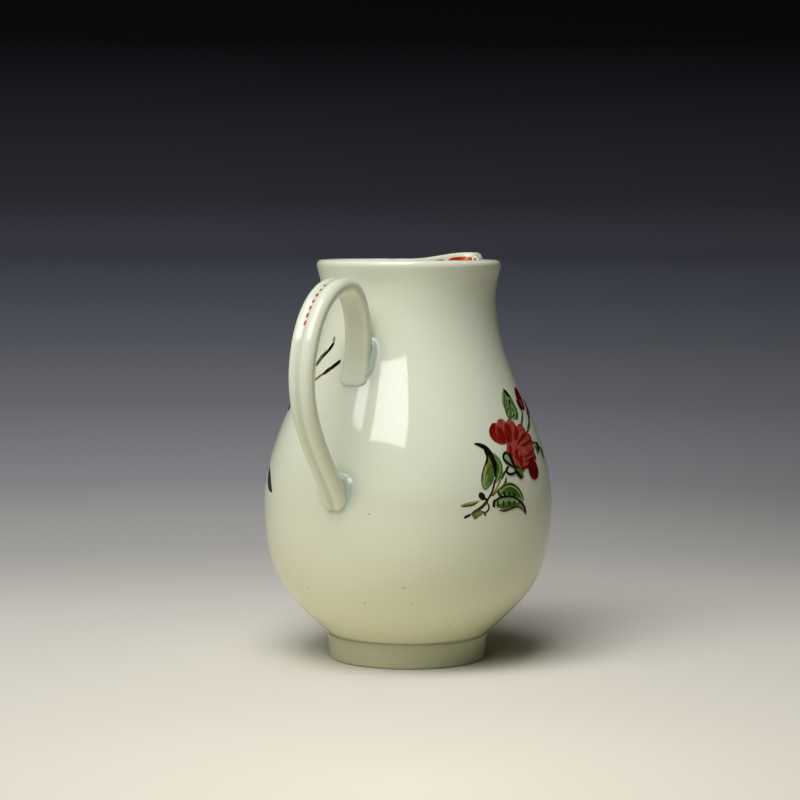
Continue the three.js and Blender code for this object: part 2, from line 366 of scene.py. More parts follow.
def set_dabs(
    tree: bpy.types.NodeTree, spots: bpy.types.Node, dab: bpy.types.Node, size: bpy.types.Node
) -> bpy.types.Node:
    """Sets smooth dabs on points in a geometry node tree.

    Args:
        tree: The tree.
        spots: The node that gives the points and how each is turned.
        dab: The node that gives the dab's mesh.
        size: The node that gives each dab's size.

    Returns:
        The node that gives all dabs.
    """
    smooth = add_node(tree, "GeometryNodeSetShadeSmooth", {0: dab})
    turned = spots.outputs["Rotation"]
    links = {"Points": spots, "Instance": smooth, "Rotation": turned, "Scale": size}
    return add_node(tree, "GeometryNodeInstanceOnPoints", links)


def grow_piece(
    name: str, base: bpy.types.Mesh, tree: bpy.types.NodeTree, sizes: Sizes
) -> bpy.types.Object:
    """Runs a node tree on a mesh and keeps the result as a plain piece.

    Args:
        name: The piece's name.
        base: The mesh that the tree starts from.
        tree: The geometry node tree.
        sizes: Values of the tree's named inputs.

    Returns:
        The piece, with no modifier left on it.
    """
    seed = bpy.data.objects.new(name, base)
    bpy.context.scene.collection.objects.link(seed)
    modifier = seed.modifiers.new(tree.name, "NODES")
    modifier.node_group = tree
    for socket in tree.interface.items_tree:
        if socket.in_out == "INPUT" and socket.name in sizes:
            modifier[socket.identifier] = sizes[socket.name]
    grown = seed.evaluated_get(bpy.context.evaluated_depsgraph_get())
    mesh = bpy.data.meshes.new_from_object(grown)
    seed.modifiers.remove(modifier)
    bpy.data.objects.remove(seed)
    mesh.name = name
    piece = bpy.data.objects.new(name, mesh)
    bpy.context.scene.collection.objects.link(piece)
    return piece


class Finish:
    """A finish that makes its material once and then shares it."""

    name: str

    def material(self) -> bpy.types.Material:
        """Gives the finish's material, and makes it the first time.

        Returns:
            The material.
        """
        found = bpy.data.materials.get(self.name)
        if found:
            return found
        made = bpy.data.materials.new(self.name)
        made.use_nodes = True
        made.node_tree.nodes.clear()
        made.diffuse_color = linear(self.swatch())
        add_node(made.node_tree, "ShaderNodeOutputMaterial", {"Surface": self.shade(made.node_tree)})
        return made

    def swatch(self) -> str:
        """Gives the finish's plain colour."""
        raise NotImplementedError

    def shade(self, tree: bpy.types.NodeTree) -> bpy.types.Node:
        """Builds the finish's nodes in a tree and gives its last shader."""
        raise NotImplementedError


@dataclass(frozen=True)
class Glaze(Finish):
    """Lead glaze fired over soft-paste porcelain.

    It gives the eye a glossy greenish white skin that waves a little, with faint rings from the
    wheel under it. It is creamier low on the jug, which is painted warm light thrown up from the
    table, and it turns bluish green where it has pooled in the joints; round the handle's joints on
    the body that tint is partly painted shade.
    """

    name: str
    colour: str
    cloud: str
    # The creamy tint is painted warm light thrown up from the table on to the lower jug
    creamy: str
    pooled: str
    roughness: float = 0.06
    smearing: Pair = (0.8, 1.2)
    ior: float = 1.6
    creamy_below: float = 48.0
    creamiest: float = 8.0
    cloud_size: float = 26.0
    smear_size: float = 7.0
    wave_size: float = 9.0
    wave_depth: float = 0.03
    ring_spacing: float = 1.6
    ring_depth: float = 0.004

    def swatch(self) -> str:
        """Gives the glaze's plain colour."""
        return self.colour

    def shade(self, tree: bpy.types.NodeTree) -> bpy.types.Node:
        """Builds the glaze: clouded colour, pooled joints, waves and wheel rings.

        Args:
            tree: The material's empty tree.

        Returns:
            Its last shader.
        """
        add = partial(add_node, tree)
        place = add("ShaderNodeTexCoord").outputs["Object"]
        height = add("ShaderNodeSeparateXYZ", {0: place}).outputs["Z"]
        pool = add("ShaderNodeAttribute", attribute_name="pool").outputs["Fac"]
        cloudy = {"Vector": place, "Scale": 1 / (self.cloud_size * MM), "Detail": 3.0, "Roughness": 0.6}
        clouds = add("ShaderNodeTexNoise", cloudy)
        # Painted warm light from the table: the glaze turns creamier towards the bottom of the jug
        painted_table_warmth = add(
            "ShaderNodeMapRange",
            {"Value": height, "From Min": self.creamy_below * MM, "From Max": self.creamiest * MM},
            interpolation_type="SMOOTHSTEP",
        )
        tone = linear(self.colour)
        for share, other in ((clouds, self.cloud), (painted_table_warmth, self.creamy), (pool, self.pooled)):
            tone = add("ShaderNodeMix", {0: share, 6: tone, 7: linear(other)}, data_type="RGBA")
        smeared = {"Vector": place, "Scale": 1 / (self.smear_size * MM), "Detail": 2.0}
        smears = add("ShaderNodeTexNoise", smeared)
        least, most = (self.roughness * share for share in self.smearing)
        rough = add("ShaderNodeMapRange", {"Value": smears, "To Min": least, "To Max": most})
        waving = {"Vector": place, "Scale": 1 / (self.wave_size * MM), "Detail": 1.0}
        waves = add("ShaderNodeTexNoise", waving)
        raised = {"Strength": 1.0, "Distance": self.wave_depth * MM, "Height": waves}
        wavy = add("ShaderNodeBump", raised)
        rings = add(
            "ShaderNodeTexNoise",
            {"W": height, "Scale": 1 / (self.ring_spacing * MM), "Detail": 2.0},
            noise_dimensions="1D",
        )
        ringed = {"Strength": 1.0, "Distance": self.ring_depth * MM, "Height": rings, "Normal": wavy}
        turned = add("ShaderNodeBump", ringed)
        skin = {"Base Color": tone, "Roughness": rough, "IOR": self.ior, "Normal": turned}
        return add("ShaderNodeBsdfPrincipled", skin)


@dataclass(frozen=True)
class Enamel(Finish):
    """Overglaze enamel, laid on with a loaded brush and fired.

    It gives the eye a slightly raised glossy colour that runs from thin to deep along the hairs of
    the brush.
    """

    name: str
    deep: str
    thin: str
    hair: float
    drawn_out: float = 0.16
    streaks: Pair = (0.42, 0.66)
    relief: float = 0.02
    roughness: float = 0.22
    ior: float = 1.5

    def swatch(self) -> str:
        """Gives the enamel's deeper colour."""
        return self.deep

    def shade(self, tree: bpy.types.NodeTree) -> bpy.types.Node:
        """Builds the enamel: streaks of the brush from thin to deep.

        Args:
            tree: The material's empty tree.

        Returns:
            Its last shader.
        """
        add = partial(add_node, tree)
        brush = add("ShaderNodeAttribute", attribute_name="brush").outputs["Vector"]
        fineness = (1 / self.hair, self.drawn_out / self.hair, 1.0)
        drawn = add("ShaderNodeVectorMath", {0: brush, 1: fineness}, operation="MULTIPLY")
        hairy = {"Vector": drawn, "Scale": 1.0, "Detail": 2.0, "Roughness": 0.6}
        hairs = add("ShaderNodeTexNoise", hairy)
        tones = tuple(zip(self.streaks, (self.deep, self.thin)))
        colour = add("ShaderNodeValToRGB", {0: hairs}, tones)
        raised = add("ShaderNodeBump", {"Strength": 0.6, "Distance": self.relief * MM, "Height": hairs})
        coat = {"Base Color": colour, "Roughness": self.roughness, "IOR": self.ior, "Normal": raised}
        return add("ShaderNodeBsdfPrincipled", coat)


# The glaze all over the jug: a pale greenish white
PORCELAIN = Glaze("lead_glazed_porcelain", "#e7e9d4", "#e0e4cf", "#eae7cb", "#a9b9ab")
# Glaze that lies thick on the slip collars: paler on their edge, which is a painted highlight, and bluer
# in their hollows
COLLAR_GLAZE = Glaze("collar_glaze_with_painted_highlight", "#f0f2e6", "#eaeee0", "#eceadb", "#a0b3a7")
# Glaze on the turned foot: duller and browner than on the body
FOOT = Glaze("dull_foot_glaze", "#ccccae", "#c2c2a6", "#c8c8a6", "#93937a", roughness=0.22)
# Specks of iron deep in the glaze: only a little darker than it
FAINT_SPECK = Glaze("faint_speck_in_glaze", "#cfd0b8", "#c4c6ae", "#cbc9aa", "#a8a78a", roughness=0.1)


class Touch(Enum):
    """How the width of a brush stroke runs from its start to its end."""

    LINE = "even, with round ends"
    LEAF = "pointed at both ends"
    PETAL = "narrow at its start and blunt at its end"
    TAIL = "thick at its start and drawn out to a point"
    DAB = "an oval"

    def width(self, along: np.ndarray) -> np.ndarray:
        """Gives the stroke's width along it.

        Args:
            along: Places along the stroke, from 0 to 1.

        Returns:
            A share of its full width for each place.
        """
        ends = np.sqrt(np.maximum(1 - np.abs(2 * along - 1) ** 5, 0))
        shares = {
            Touch.LINE: ends,
            Touch.LEAF: np.sin(math.pi * along) ** 0.75,
            Touch.PETAL: ends * (0.35 + 0.65 * np.sin(math.pi * np.minimum(along / 1.35, 1))),
            Touch.TAIL: ends * (1 - 0.8 * along),
            Touch.DAB: np.sqrt(np.maximum(1 - (2 * along - 1) ** 2, 0)),
        }
        return np.maximum(shares[self], THINNEST_STROKE)


@dataclass(frozen=True)
class Stroke:
    """One stroke of the brush: its pigment, how its width runs, its width and its middle line."""

    pigment: "Pigment"
    touch: Touch
    width: float
    places: tuple[Pair, ...]


class Pigment(Enum):
    """The enamel painter's colours, and the strokes that a brush makes with them.

    Each gives the eye its first colour where it lies thick and its second where the hairs of the
    brush have thinned it. The number is the width of a hair's streak.
    """

    CARMINE = Enamel("carmine_enamel", "#700f07", "#8f2518", 0.5)
    DEEP_CARMINE = Enamel("thick_carmine_enamel", "#540301", "#721209", 0.5)
    PINK = Enamel("thin_carmine_enamel", "#9c352e", "#c05b54", 0.45)
    GREEN = Enamel("leaf_green_enamel", "#38580f", "#5f7d45", 0.45)
    PALE_GREEN = Enamel("pale_green_enamel", "#759257", "#9bb17b", 0.5)
    OCHRE = Enamel("ochre_enamel", "#655c1c", "#938949", 0.4)
    BROWN = Enamel("brown_enamel", "#2a1d06", "#4d3d16", 0.3)
    BLACK = Enamel("black_enamel", "#0a1002", "#172308", 0.3)
    IRON_RED = Enamel("iron_red_enamel", "#a8300c", "#d0642f", 0.6)
    SPECK = Enamel("iron_speck_in_glaze", "#c4c4a6", "#cecdb2", 0.4)

    def line(self, width: float, *places: Pair) -> Stroke:
        """Draws an even line through places."""
        return Stroke(self, Touch.LINE, width, places)

    def leaf(self, width: float, *places: Pair) -> Stroke:
        """Draws a stroke that is pointed at both ends."""
        return Stroke(self, Touch.LEAF, width, places)

    def petal(self, width: float, *places: Pair) -> Stroke:
        """Draws a stroke that is blunt at its end."""
        return Stroke(self, Touch.PETAL, width, places)

    def tail(self, width: float, *places: Pair) -> Stroke:
        """Draws a stroke that runs out to a point."""
        return Stroke(self, Touch.TAIL, width, places)

    def dab(self, width: float, *places: Pair) -> Stroke:
        """Draws an oval dab."""
        return Stroke(self, Touch.DAB, width, places)


CARMINE, DEEP_CARMINE, PINK, GREEN, PALE_GREEN, OCHRE, BROWN, BLACK, IRON_RED, IRON_SPECK = Pigment


def ribs(brush: Stroke, count: int, last: Pair, last_reach: Pair) -> tuple[Stroke, ...]:
    """Repeats a straight stroke along a row.

    Args:
        brush: The first stroke, from its start to its end.
        count: How many strokes the row has.
        last: Where the last one starts.
        last_reach: How far the last one runs, across and up.

    Returns:
        The row of strokes.
    """
    start, end = np.array(brush.places[0]), np.array(brush.places[-1])
    row = []
    for share in np.linspace(0, 1, count):
        begin = start + share * (np.array(last) - start)
        reach = end - start + share * (np.array(last_reach) - (end - start))
        row.append(replace(brush, places=(tuple(begin), tuple(begin + reach))))
    return tuple(row)


def brush_marks(half_width: float, along: np.ndarray, sides: int, run: float) -> np.ndarray:
    """Gives where the points of a stroke lie under the brush.

    Args:
        half_width: Half of the stroke's full width.
        along: How far along the stroke each row of points lies.
        sides: How many points a row has on the surface. One more lies under them in the glaze.
        run: A number that sets this stroke's hairs apart from the others'.

    Returns:
        For each point its place across and along, and the run.
    """
    marks = np.zeros((len(along), sides + 1, 3))
    marks[:, :sides, 0] = np.linspace(-1, 1, sides) * half_width
    marks[..., 1] = along[:, None]
    marks[..., 2] = run
    return marks.reshape(-1, 3)


def paint(name: str, shells: list[Shell], pigment: Pigment) -> bpy.types.Object:
    """Makes one piece of the strokes that share a pigment.

    Args:
        name: The piece's name.
        shells: The strokes' skins.
        pigment: Their pigment.

    Returns:
        The piece.
    """
    points, faces = joined(shells)
    marks = {"brush": np.vstack([shell.brush for shell in shells])}
    return make_piece(name, points, faces, pigment.value.material(), marks)


class Row(NamedTuple):
    """One ring of the wall: its radius, height and depth through the wall, and its outer partner."""

    radius: float
    height: float
    depth: float
    partner_radius: float
    partner_height: float


@dataclass(frozen=True)
class VesselShape:
    """The thrown vessel, and the beak that is drawn out of its rim.

    The guides say how far each stretch of the outside keeps the slope of its lower and upper end, as
    shares of its rise.
    """

    foot_height: float = 5.7
    belly_height: float = 35.0
    neck_height: float = 80.0
    rim_height: float = 88.0
    joint_radius: float = 17.7
    belly_radius: float = 31.8
    neck_radius: float = 19.2
    rim_radius: float = 20.3
    wall: float = 2.4
    floor_top: float = 9.3
    floor_fillet: float = 4.0
    foot_slope: float = 42.7
    lip_flare: float = 15.0
    foot_guides: Pair = (0.39, 0.62)
    shoulder_guides: Pair = (0.353, 0.356)
    neck_guides: Pair = (0.43, 0.46)
    steps: tuple[int, int, int] = (36, 56, 14)
    lip_steps: int = 12
    beak_reach: float = 12.2
    beak_rise: float = 1.45
    beak_root: float = 69.0
    beak_wall: float = 1.6
    beak_half_angle: float = 30.0
    beak_nose_angle: float = 5.0
    beak_hollow: float = 1.3
    beak_blend: float = 2.0
    beak_seat: float = 1.2

    @cached_property
    def lip_start(self) -> Pair:
        """Finds where the outside runs into the rounded lip.

        Returns:
            A radius and a height.
        """
        half = self.wall / 2
        level, down = half * heading(self.lip_flare)
        return self.rim_radius - half + level, self.rim_height - half - down

    @cached_property
    def outside(self) -> np.ndarray:
        """Draws the outside from the foot to the lip.

        Returns:
            Radii and heights, one row for each ring.
        """
        places = np.array(
            [
                (self.joint_radius, self.foot_height),
                (self.belly_radius, self.belly_height),
                (self.neck_radius, self.neck_height),
                self.lip_start,
            ]
        )
        slopes = [heading(angle) for angle in (self.foot_slope, 90, 90, 90 - self.lip_flare)]
        stretches = [places[:1]]
        for at, guides in enumerate((self.foot_guides, self.shoulder_guides, self.neck_guides)):
            start, end = places[at], places[at + 1]
            rise = end[1] - start[1]
            leave = start + guides[0] * rise * slopes[at]
            arrive = end - guides[1] * rise * slopes[at + 1]
            stretches.append(bezier(start, leave, arrive, end, self.steps[at])[1:])
        return np.vstack(stretches)

    @cached_property
    def slant(self) -> np.ndarray:
        """Radial and upright parts of the outside's normals."""
        return -left_of(self.outside)

    @cached_property
    def inside(self) -> np.ndarray:
        """Radii and heights up the inside, one for each point of the outside."""
        return self.outside - self.wall * self.slant

    def radius(self, height: Any) -> Any:
        """Gives the outer radius at a height."""
        return np.interp(height, self.outside[:, 1], self.outside[:, 0])

    def normal(self, height: Any) -> tuple[Any, Any]:
        """Gives the radial and upright parts of the outer wall's normal at a height."""
        heights = self.outside[:, 1]
        return np.interp(height, heights, self.slant[:, 0]), np.interp(height, heights, self.slant[:, 1])

    def on_wall(self, turn: np.ndarray, height: np.ndarray, lift: Any) -> np.ndarray:
        """Gives points over the outside wall, away from the beak.

        Args:
            turn: Angles round the axis from the beak, in radians.
            height: Heights above the table.
            lift: How far the points stand off the wall.

        Returns:
            One row for each point.
        """
        out, up = self.normal(height)
        reach = self.radius(height) + lift * out
        return np.stack([reach * np.cos(turn), reach * np.sin(turn), height + lift * up], axis=-1)

    def fold_radius(self, reach: float, turn: np.ndarray) -> np.ndarray:
        """Gives the radius of the beak's folded sides.

        Args:
            reach: Radius of the ridge between them.
            turn: Angles from the ridge, in radians.

        Returns:
            The radius at each angle.
        """
        half, nose = math.radians(self.beak_half_angle), math.radians(self.beak_nose_angle)
        away = np.hypot(turn, nose) - nose
        return reach * math.sin(half) / np.sin(np.minimum(half + away, math.pi / 2))

    def drawn_out(self, line: np.ndarray, reach: float, height: float, turn: np.ndarray) -> np.ndarray:
        """Gives how far the beak draws one face of the wall out.

        Args:
            line: Radii and heights up that face.
            reach: How far the beak's ridge reaches beyond it at the lip.
            height: Height above the table.
            turn: Angles from the ridge, in radians.

        Returns:
            The added radius at each angle.
        """
        level = min(height, self.lip_start[1])
        radius = float(np.interp(level, line[:, 1], line[:, 0]))
        climb = (level - self.beak_root) / (self.lip_start[1] - self.beak_root)
        ridge = radius + reach * math.copysign(abs(climb) ** self.beak_hollow, climb)
        return soft_larger(radius, self.fold_radius(ridge, turn), self.beak_blend) - radius

    def ring(self, row: Row, turn: np.ndarray) -> np.ndarray:
        """Gives the points of one ring of the wall at angles round the axis.

        Args:
            row: The ring.
            turn: Angles from the beak's ridge, in radians.

        Returns:
            One row for each angle.
        """
        turn = (np.asarray(turn, float) + math.pi) % (2 * math.pi) - math.pi
        radius = np.full(turn.shape, row.radius)
        height = np.full(turn.shape, row.height)
        if row.height > self.beak_root - self.beak_blend:
            front = np.abs(turn) < math.pi / 2
            slanted_wall = self.beak_wall / math.sin(math.radians(self.beak_half_angle))
            inner_reach = self.beak_reach + self.wall - slanted_wall
            outer = self.drawn_out(self.outside, self.beak_reach, row.height, turn)
            inner = self.drawn_out(self.inside, inner_reach, row.height, turn)
            radius = radius + np.where(front, (1 - row.depth) * outer + row.depth * inner, 0)
            tip = self.rim_radius + self.beak_reach
            toward = (self.fold_radius(tip, turn) - self.rim_radius) / self.beak_reach
            climb = smoothstep(row.height, self.beak_root, self.rim_height)
            height = height + np.where(front, self.beak_rise * smoothstep(toward, 0, 1) * climb, 0)
        return np.stack([radius * np.cos(turn), radius * np.sin(turn), height], axis=-1)

    def notch_angle(self, row: Row, growth: float) -> float:
        """Gives the half angle of the beak's notch at a ring.

        Args:
            row: The ring.
            growth: How far outside the beak's own edge the notch is measured.

        Returns:
            The angle from the ridge, in radians, and 0 below the notch.
        """
        half, nose = math.radians(self.beak_half_angle), math.radians(self.beak_nose_angle)
        tip = self.rim_radius + self.beak_reach
        reach = min(tip * math.sin(half) / (self.rim_radius - self.beak_blend), 1)
        depth = self.rim_height - self.beak_root + self.beak_blend
        slope = self.rim_radius * math.sin(math.asin(reach) - half + nose) / depth
        bottom = self.rim_height - depth - growth * math.hypot(1, 1 / slope)
        rounding = self.beak_blend / slope
        above = row.partner_height - bottom
        if above < rounding:
            width = slope * rounding * math.sqrt(max(2 * above / rounding - 1, 0))
        else:
            width = slope * above
        return math.asin(min(width / row.partner_radius, 1))

    @cached_property
    def lip_rows(self) -> list[Row]:
        """Gives the rings across the rounded lip.

        Returns:
            The rings, from the outside to the inside.
        """
        half, start_radius = self.wall / 2, self.lip_start[0]
        rows = []
        for share in np.linspace(0, 1, self.lip_steps + 1)[1:-1]:
            turn = math.pi * share - math.radians(self.lip_flare)
            height = self.rim_height - half + half * math.sin(turn)
            radius = self.rim_radius - half + half * math.cos(turn)
            rows.append(Row(radius, height, share, start_radius, max(height, self.lip_start[1])))
        return rows

    def wall_rows(self, first: int) -> list[Row]:
        """Gives the rings of the wall up the outside, over the lip and down the inside.

        Args:
            first: Number of the outside's ring to start and end at.

        Returns:
            The rings in order.
        """
        outer = [Row(*place, 0.0, *place) for place in self.outside[first:]]
        inner = [Row(*near, 1.0, *far) for near, far in zip(self.inside[first:], self.outside[first:])]
        return outer + self.lip_rows + inner[::-1]

    def first_open(self, growth: float) -> int:
        """Gives the number of the outside's last ring below the notch, grown by a width."""
        open_at = [self.notch_angle(Row(*place, 0.0, *place), growth) > 0 for place in self.outside]
        return open_at.index(True) - 1


@dataclass(frozen=True)
class JointPad:
    """Outline of the slip that holds one end of the strap, on the wall behind the beak."""

    height: float
    aside: float
    half_width: float
    up: float
    down: float
    fullness: float
    elsewhere: float = 99.0

    def share(self, across: np.ndarray, rise: np.ndarray) -> np.ndarray:
        """Gives how far out places lie.

        Args:
            across: Places across from the pad's middle.
            rise: Places up from it.

        Returns:
            0 in the middle, 1 on the outline and more beyond it.
        """
        reach = np.where(rise > 0, self.up, self.down)
        wide = np.abs(across / self.half_width) ** self.fullness
        return (wide + np.abs(rise / reach) ** self.fullness) ** (1 / self.fullness)

    def edge(self, turn: np.ndarray) -> np.ndarray:
        """Gives the outline.

        Args:
            turn: Angles round the pad's middle, in radians.

        Returns:
            For each angle a place across and up.
        """
        across, rise = np.cos(turn), np.sin(turn)
        return np.stack([across, rise], axis=1) / self.share(across, rise)[:, None]

    def beyond(self, points: np.ndarray) -> np.ndarray:
        """Gives how far points of the wall lie outside the outline.

        Args:
            points: Points about the jug's axis.

        Returns:
            A length for each point, which is very long on the beak's side.
        """
        across = np.where(points[:, 0] < 0, points[:, 1] - self.aside, self.elsewhere)
        rise = points[:, 2] - self.height
        share = np.maximum(self.share(across, rise), 0.01)
        return np.hypot(across, rise) * (1 - 1 / share)


UPPER_JOINT = JointPad(height=66.4, aside=-0.4, half_width=4.1, up=5.9, down=4.4, fullness=2.6)
LOWER_JOINT = JointPad(height=40.2, aside=-0.5, half_width=3.9, up=3.6, down=4.2, fullness=2.2)


class JugPiece:
    """What the pieces of the jug share: how each is handed to the frame."""

    def hand_in(self, piece: bpy.types.Object, slot: str, *nodes: str) -> bpy.types.Object:
        """Lets a piece ride on the jug and stand for its CAD nodes.

        Args:
            piece: The finished piece.
            slot: The record's material slot of its finish. Not used.
            nodes: The CAD nodes that it stands for, if any.

        Returns:
            The same piece.
        """
        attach(piece, "root")
        if nodes:
            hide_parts(*nodes)
        LOG.info("%s: %d faces, stands for %s", piece.name, len(piece.data.polygons), nodes or "none")
        return piece


@dataclass(frozen=True)
class WallPanel:
    """A stretch of the wall between two edges, closed where it is cut."""

    vessel: VesselShape
    first: int
    cut_from: tuple[int, int]
    columns: int

    def build(self, low: list[float], high: list[float]) -> Shell:
        """Builds the panel's skin and its two cut edges.

        Args:
            low: Angle of one edge at each ring.
            high: Angle of the other edge at each ring.

        Returns:
            The skin.
        """
        rows = self.vessel.wall_rows(self.first)
        share = np.linspace(0, 1, self.columns)
        points = [
            self.vessel.ring(row, start + share * (end - start))
            for row, start, end in zip(rows, low, high)
        ]
        faces = grid_faces(len(rows), self.columns)
        for column, cut in zip((0, self.columns - 1), self.cut_from):
            faces += self.cut_edge(len(rows), column, max(cut - self.first, 0))
        return Shell(np.vstack(points), faces)

    def cut_edge(self, rows: int, column: int, cut: int) -> Faces:
        """Closes the wall along one edge, up to the lip.

        Args:
            rows: How many rings the panel has.
            column: Which point of each ring lies on the edge.
            cut: The ring that the cut starts from.

        Returns:
            The faces between the outside and the inside.
        """
        edge = [row * self.columns + column for row in range(rows)]
        outer = len(self.vessel.outside) - self.first
        faces = []
        for row in range(cut, outer - 1):
            faces.append((edge[row], edge[row + 1], edge[rows - 2 - row], edge[rows - 1 - row]))
        return [*faces, tuple(edge[outer - 1 : rows - outer + 1])]


@dataclass
class Body(JugPiece):
    """The thrown body with its notched rim."""

    vessel: VesselShape
    columns: int = 208
    under_rings: tuple[float, ...] = (0.0, 9.0, 14.0)
    floor_rings: tuple[float, ...] = (8.0, 0.0)
    fillet_steps: int = 8
    pool: float = 0.35
    upper_pool_and_shade: float = 1.5
    lower_pool_and_shade: float = 1.0

    def skins(self) -> list[Shell]:
        """Builds the notched wall, the underside and the floor.

        Returns:
            The three skins.
        """
        vessel = self.vessel
        fillet_top = vessel.floor_top + vessel.floor_fillet
        first = next(at for at, place in enumerate(vessel.inside) if place[1] > fillet_top)
        cut = vessel.first_open(vessel.beak_seat)
        edges = [vessel.notch_angle(row, vessel.beak_seat) for row in vessel.wall_rows(first)]
        panel = WallPanel(vessel, first, (cut, cut), self.columns)
        skins = [panel.build(edges, [2 * math.pi - edge for edge in edges])]
        wide = float(np.interp(vessel.floor_top, vessel.inside[:, 1], vessel.inside[:, 0]))
        corner = np.array([wide, vessel.floor_top])
        flat = corner - vessel.floor_fillet * OUTWARD
        under = [(radius, vessel.foot_height) for radius in self.under_rings]
        level = [(radius, vessel.floor_top) for radius in self.floor_rings]
        fillet = bezier(vessel.inside[first], corner, corner, flat, self.fillet_steps)
        turn = np.linspace(0, 2 * math.pi, self.columns)
        for stretch in ([*under, *vessel.outside[: first + 1]], [*fillet, *level]):
            rings = [vessel.ring(Row(*place, 0.0, *place), turn) for place in stretch]
            skins.append(Shell(np.vstack(rings), grid_faces(len(stretch), self.columns)))
        return skins

    def dress(self) -> bpy.types.Object:
        """Builds the body, with a tint round the handle's joints that is partly pooled glaze and partly
        painted shade, and hands it in.

        Returns:
            The body.
        """
        points, faces = joined(self.skins())
        # The tint round the joints is partly pooled glaze and partly painted shade round the strap's
        # ends
        upper = fall_off(UPPER_JOINT.beyond(points), self.upper_pool_and_shade)
        lower = fall_off(LOWER_JOINT.beyond(points), self.lower_pool_and_shade)
        marks = {"pool": self.pool * np.maximum(upper, lower)}
        piece = make_piece("glazed_body", points, faces, PORCELAIN.material(), marks)
        return self.hand_in(piece, "glaze", "body")


@dataclass
class SparrowBeak(JugPiece):
    """The folded pouring beak, and the slip that joins it to the notch."""

    vessel: VesselShape
    columns: int = 72
    slip_columns: int = 7
    pool: float = 0.35

    def build_beak(self) -> bpy.types.Object:
        """Builds the beak between the two edges of the notch.

        Returns:
            The beak.
        """
        first = self.vessel.first_open(0)
        edges = [self.vessel.notch_angle(row, 0) for row in self.vessel.wall_rows(first)]
        panel = WallPanel(self.vessel, first, (first, first), self.columns)
        shell = panel.build([-edge for edge in edges], edges)
        marks = {"pool": np.zeros(len(shell.points))}
        return make_piece("folded_beak", shell.points, shell.faces, PORCELAIN.material(), marks)

    def build_slip(self) -> bpy.types.Object:
        """Builds the strip of slip along both sides of the beak, with glaze pooled down its middle.

        Returns:
            The strip.
        """
        vessel, columns = self.vessel, self.slip_columns
        first, beak = vessel.first_open(vessel.beak_seat), vessel.first_open(0)
        rows = vessel.wall_rows(first)
        near = np.array([vessel.notch_angle(row, 0) for row in rows])
        far = np.array([vessel.notch_angle(row, vessel.beak_seat) for row in rows])
        right = WallPanel(vessel, first, (beak, first), columns).build(near, far)
        left = WallPanel(vessel, first, (first, beak), columns).build(-far, -near)
        points, faces = joined([right, left])
        band = self.pool * np.sin(math.pi * np.linspace(0, 1, columns))
        marks = {"pool": np.tile(band, 2 * len(rows))}
        return make_piece("beak_joint", points, faces, PORCELAIN.material(), marks)

    def dress(self) -> None:
        """Builds both pieces and hands them in."""
        self.hand_in(self.build_beak(), "glaze", "sparrow_beak")
        self.hand_in(self.build_slip(), "pooled_glaze", "beak_slip")


@dataclass
class FootRing(JugPiece):
    """The turned foot ring: a rounded section swept round a circle."""

    top_radius: float = 17.7
    bottom_radius: float = 17.4
    width: float = 3.0
    height: float = 5.7
    edge: float = 0.6
    edge_steps: int = 6
    columns: int = 208

    @property
    def sizes(self) -> Sizes:
        """Gives the node tree's named inputs.

        Returns:
            Their values, with lengths in metres.
        """
        inner = self.bottom_radius - self.width
        return {
            "Inner radius": inner * MM,
            "Bottom reach": self.width * MM,
            "Top reach": (self.top_radius - inner) * MM,
            "Height": self.height * MM,
            "Edge": self.edge * MM,
            "Material": FOOT.material(),
        }

    def grow_tree(self) -> bpy.types.NodeTree:
        """Builds the node tree that rounds the section's corners and sweeps it round the axis.

        Returns:
            The tree.
        """
        tree, sizes = node_tree("foot_ring_turning", self.sizes)
        add = partial(add_node, tree)
        down = add("ShaderNodeMath", {0: sizes["Height"], 1: -1.0}, operation="MULTIPLY")
        places = [{"Y": down}, {"X": sizes["Top reach"], "Y": down}, {"X": sizes["Bottom reach"]}, {}]
        corners = {
            f"Point {at}": add("ShaderNodeCombineXYZ", place) for at, place in enumerate(places, 1)
        }
        section = add("GeometryNodeCurvePrimitiveQuadrilateral", corners, mode="POINTS")
        edges = {"Curve": section, "Count": self.edge_steps, "Radius": sizes["Edge"]}
        rounded = add("GeometryNodeFilletCurve", edges, mode="POLY")
        way_round = {"Resolution": self.columns, "Radius": sizes["Inner radius"]}
        circle = add("GeometryNodeCurvePrimitiveCircle", way_round)
        swept = add("GeometryNodeCurveToMesh", {"Curve": circle, "Profile Curve": rounded})
        moved = add("GeometryNodeTransform", {"Geometry": swept, "Translation": (AXIS_X, 0.0, 0.0)})
        return end_tree(tree, sizes, moved)

    def dress(self) -> bpy.types.Object:
        """Grows the ring, turns its faces outwards and hands it in.

        Returns:
            The ring.
        """
        start = bpy.data.meshes.new("foot_start")
        piece = grow_piece("turned_foot", start, self.grow_tree(), self.sizes)
        shape = bmesh.new()
        shape.from_mesh(piece.data)
        bmesh.ops.recalc_face_normals(shape, faces=shape.faces)
        shape.to_mesh(piece.data)
        shape.free()
        piece.data.shade_smooth()
        return self.hand_in(piece, "foot_glaze", "foot_ring")


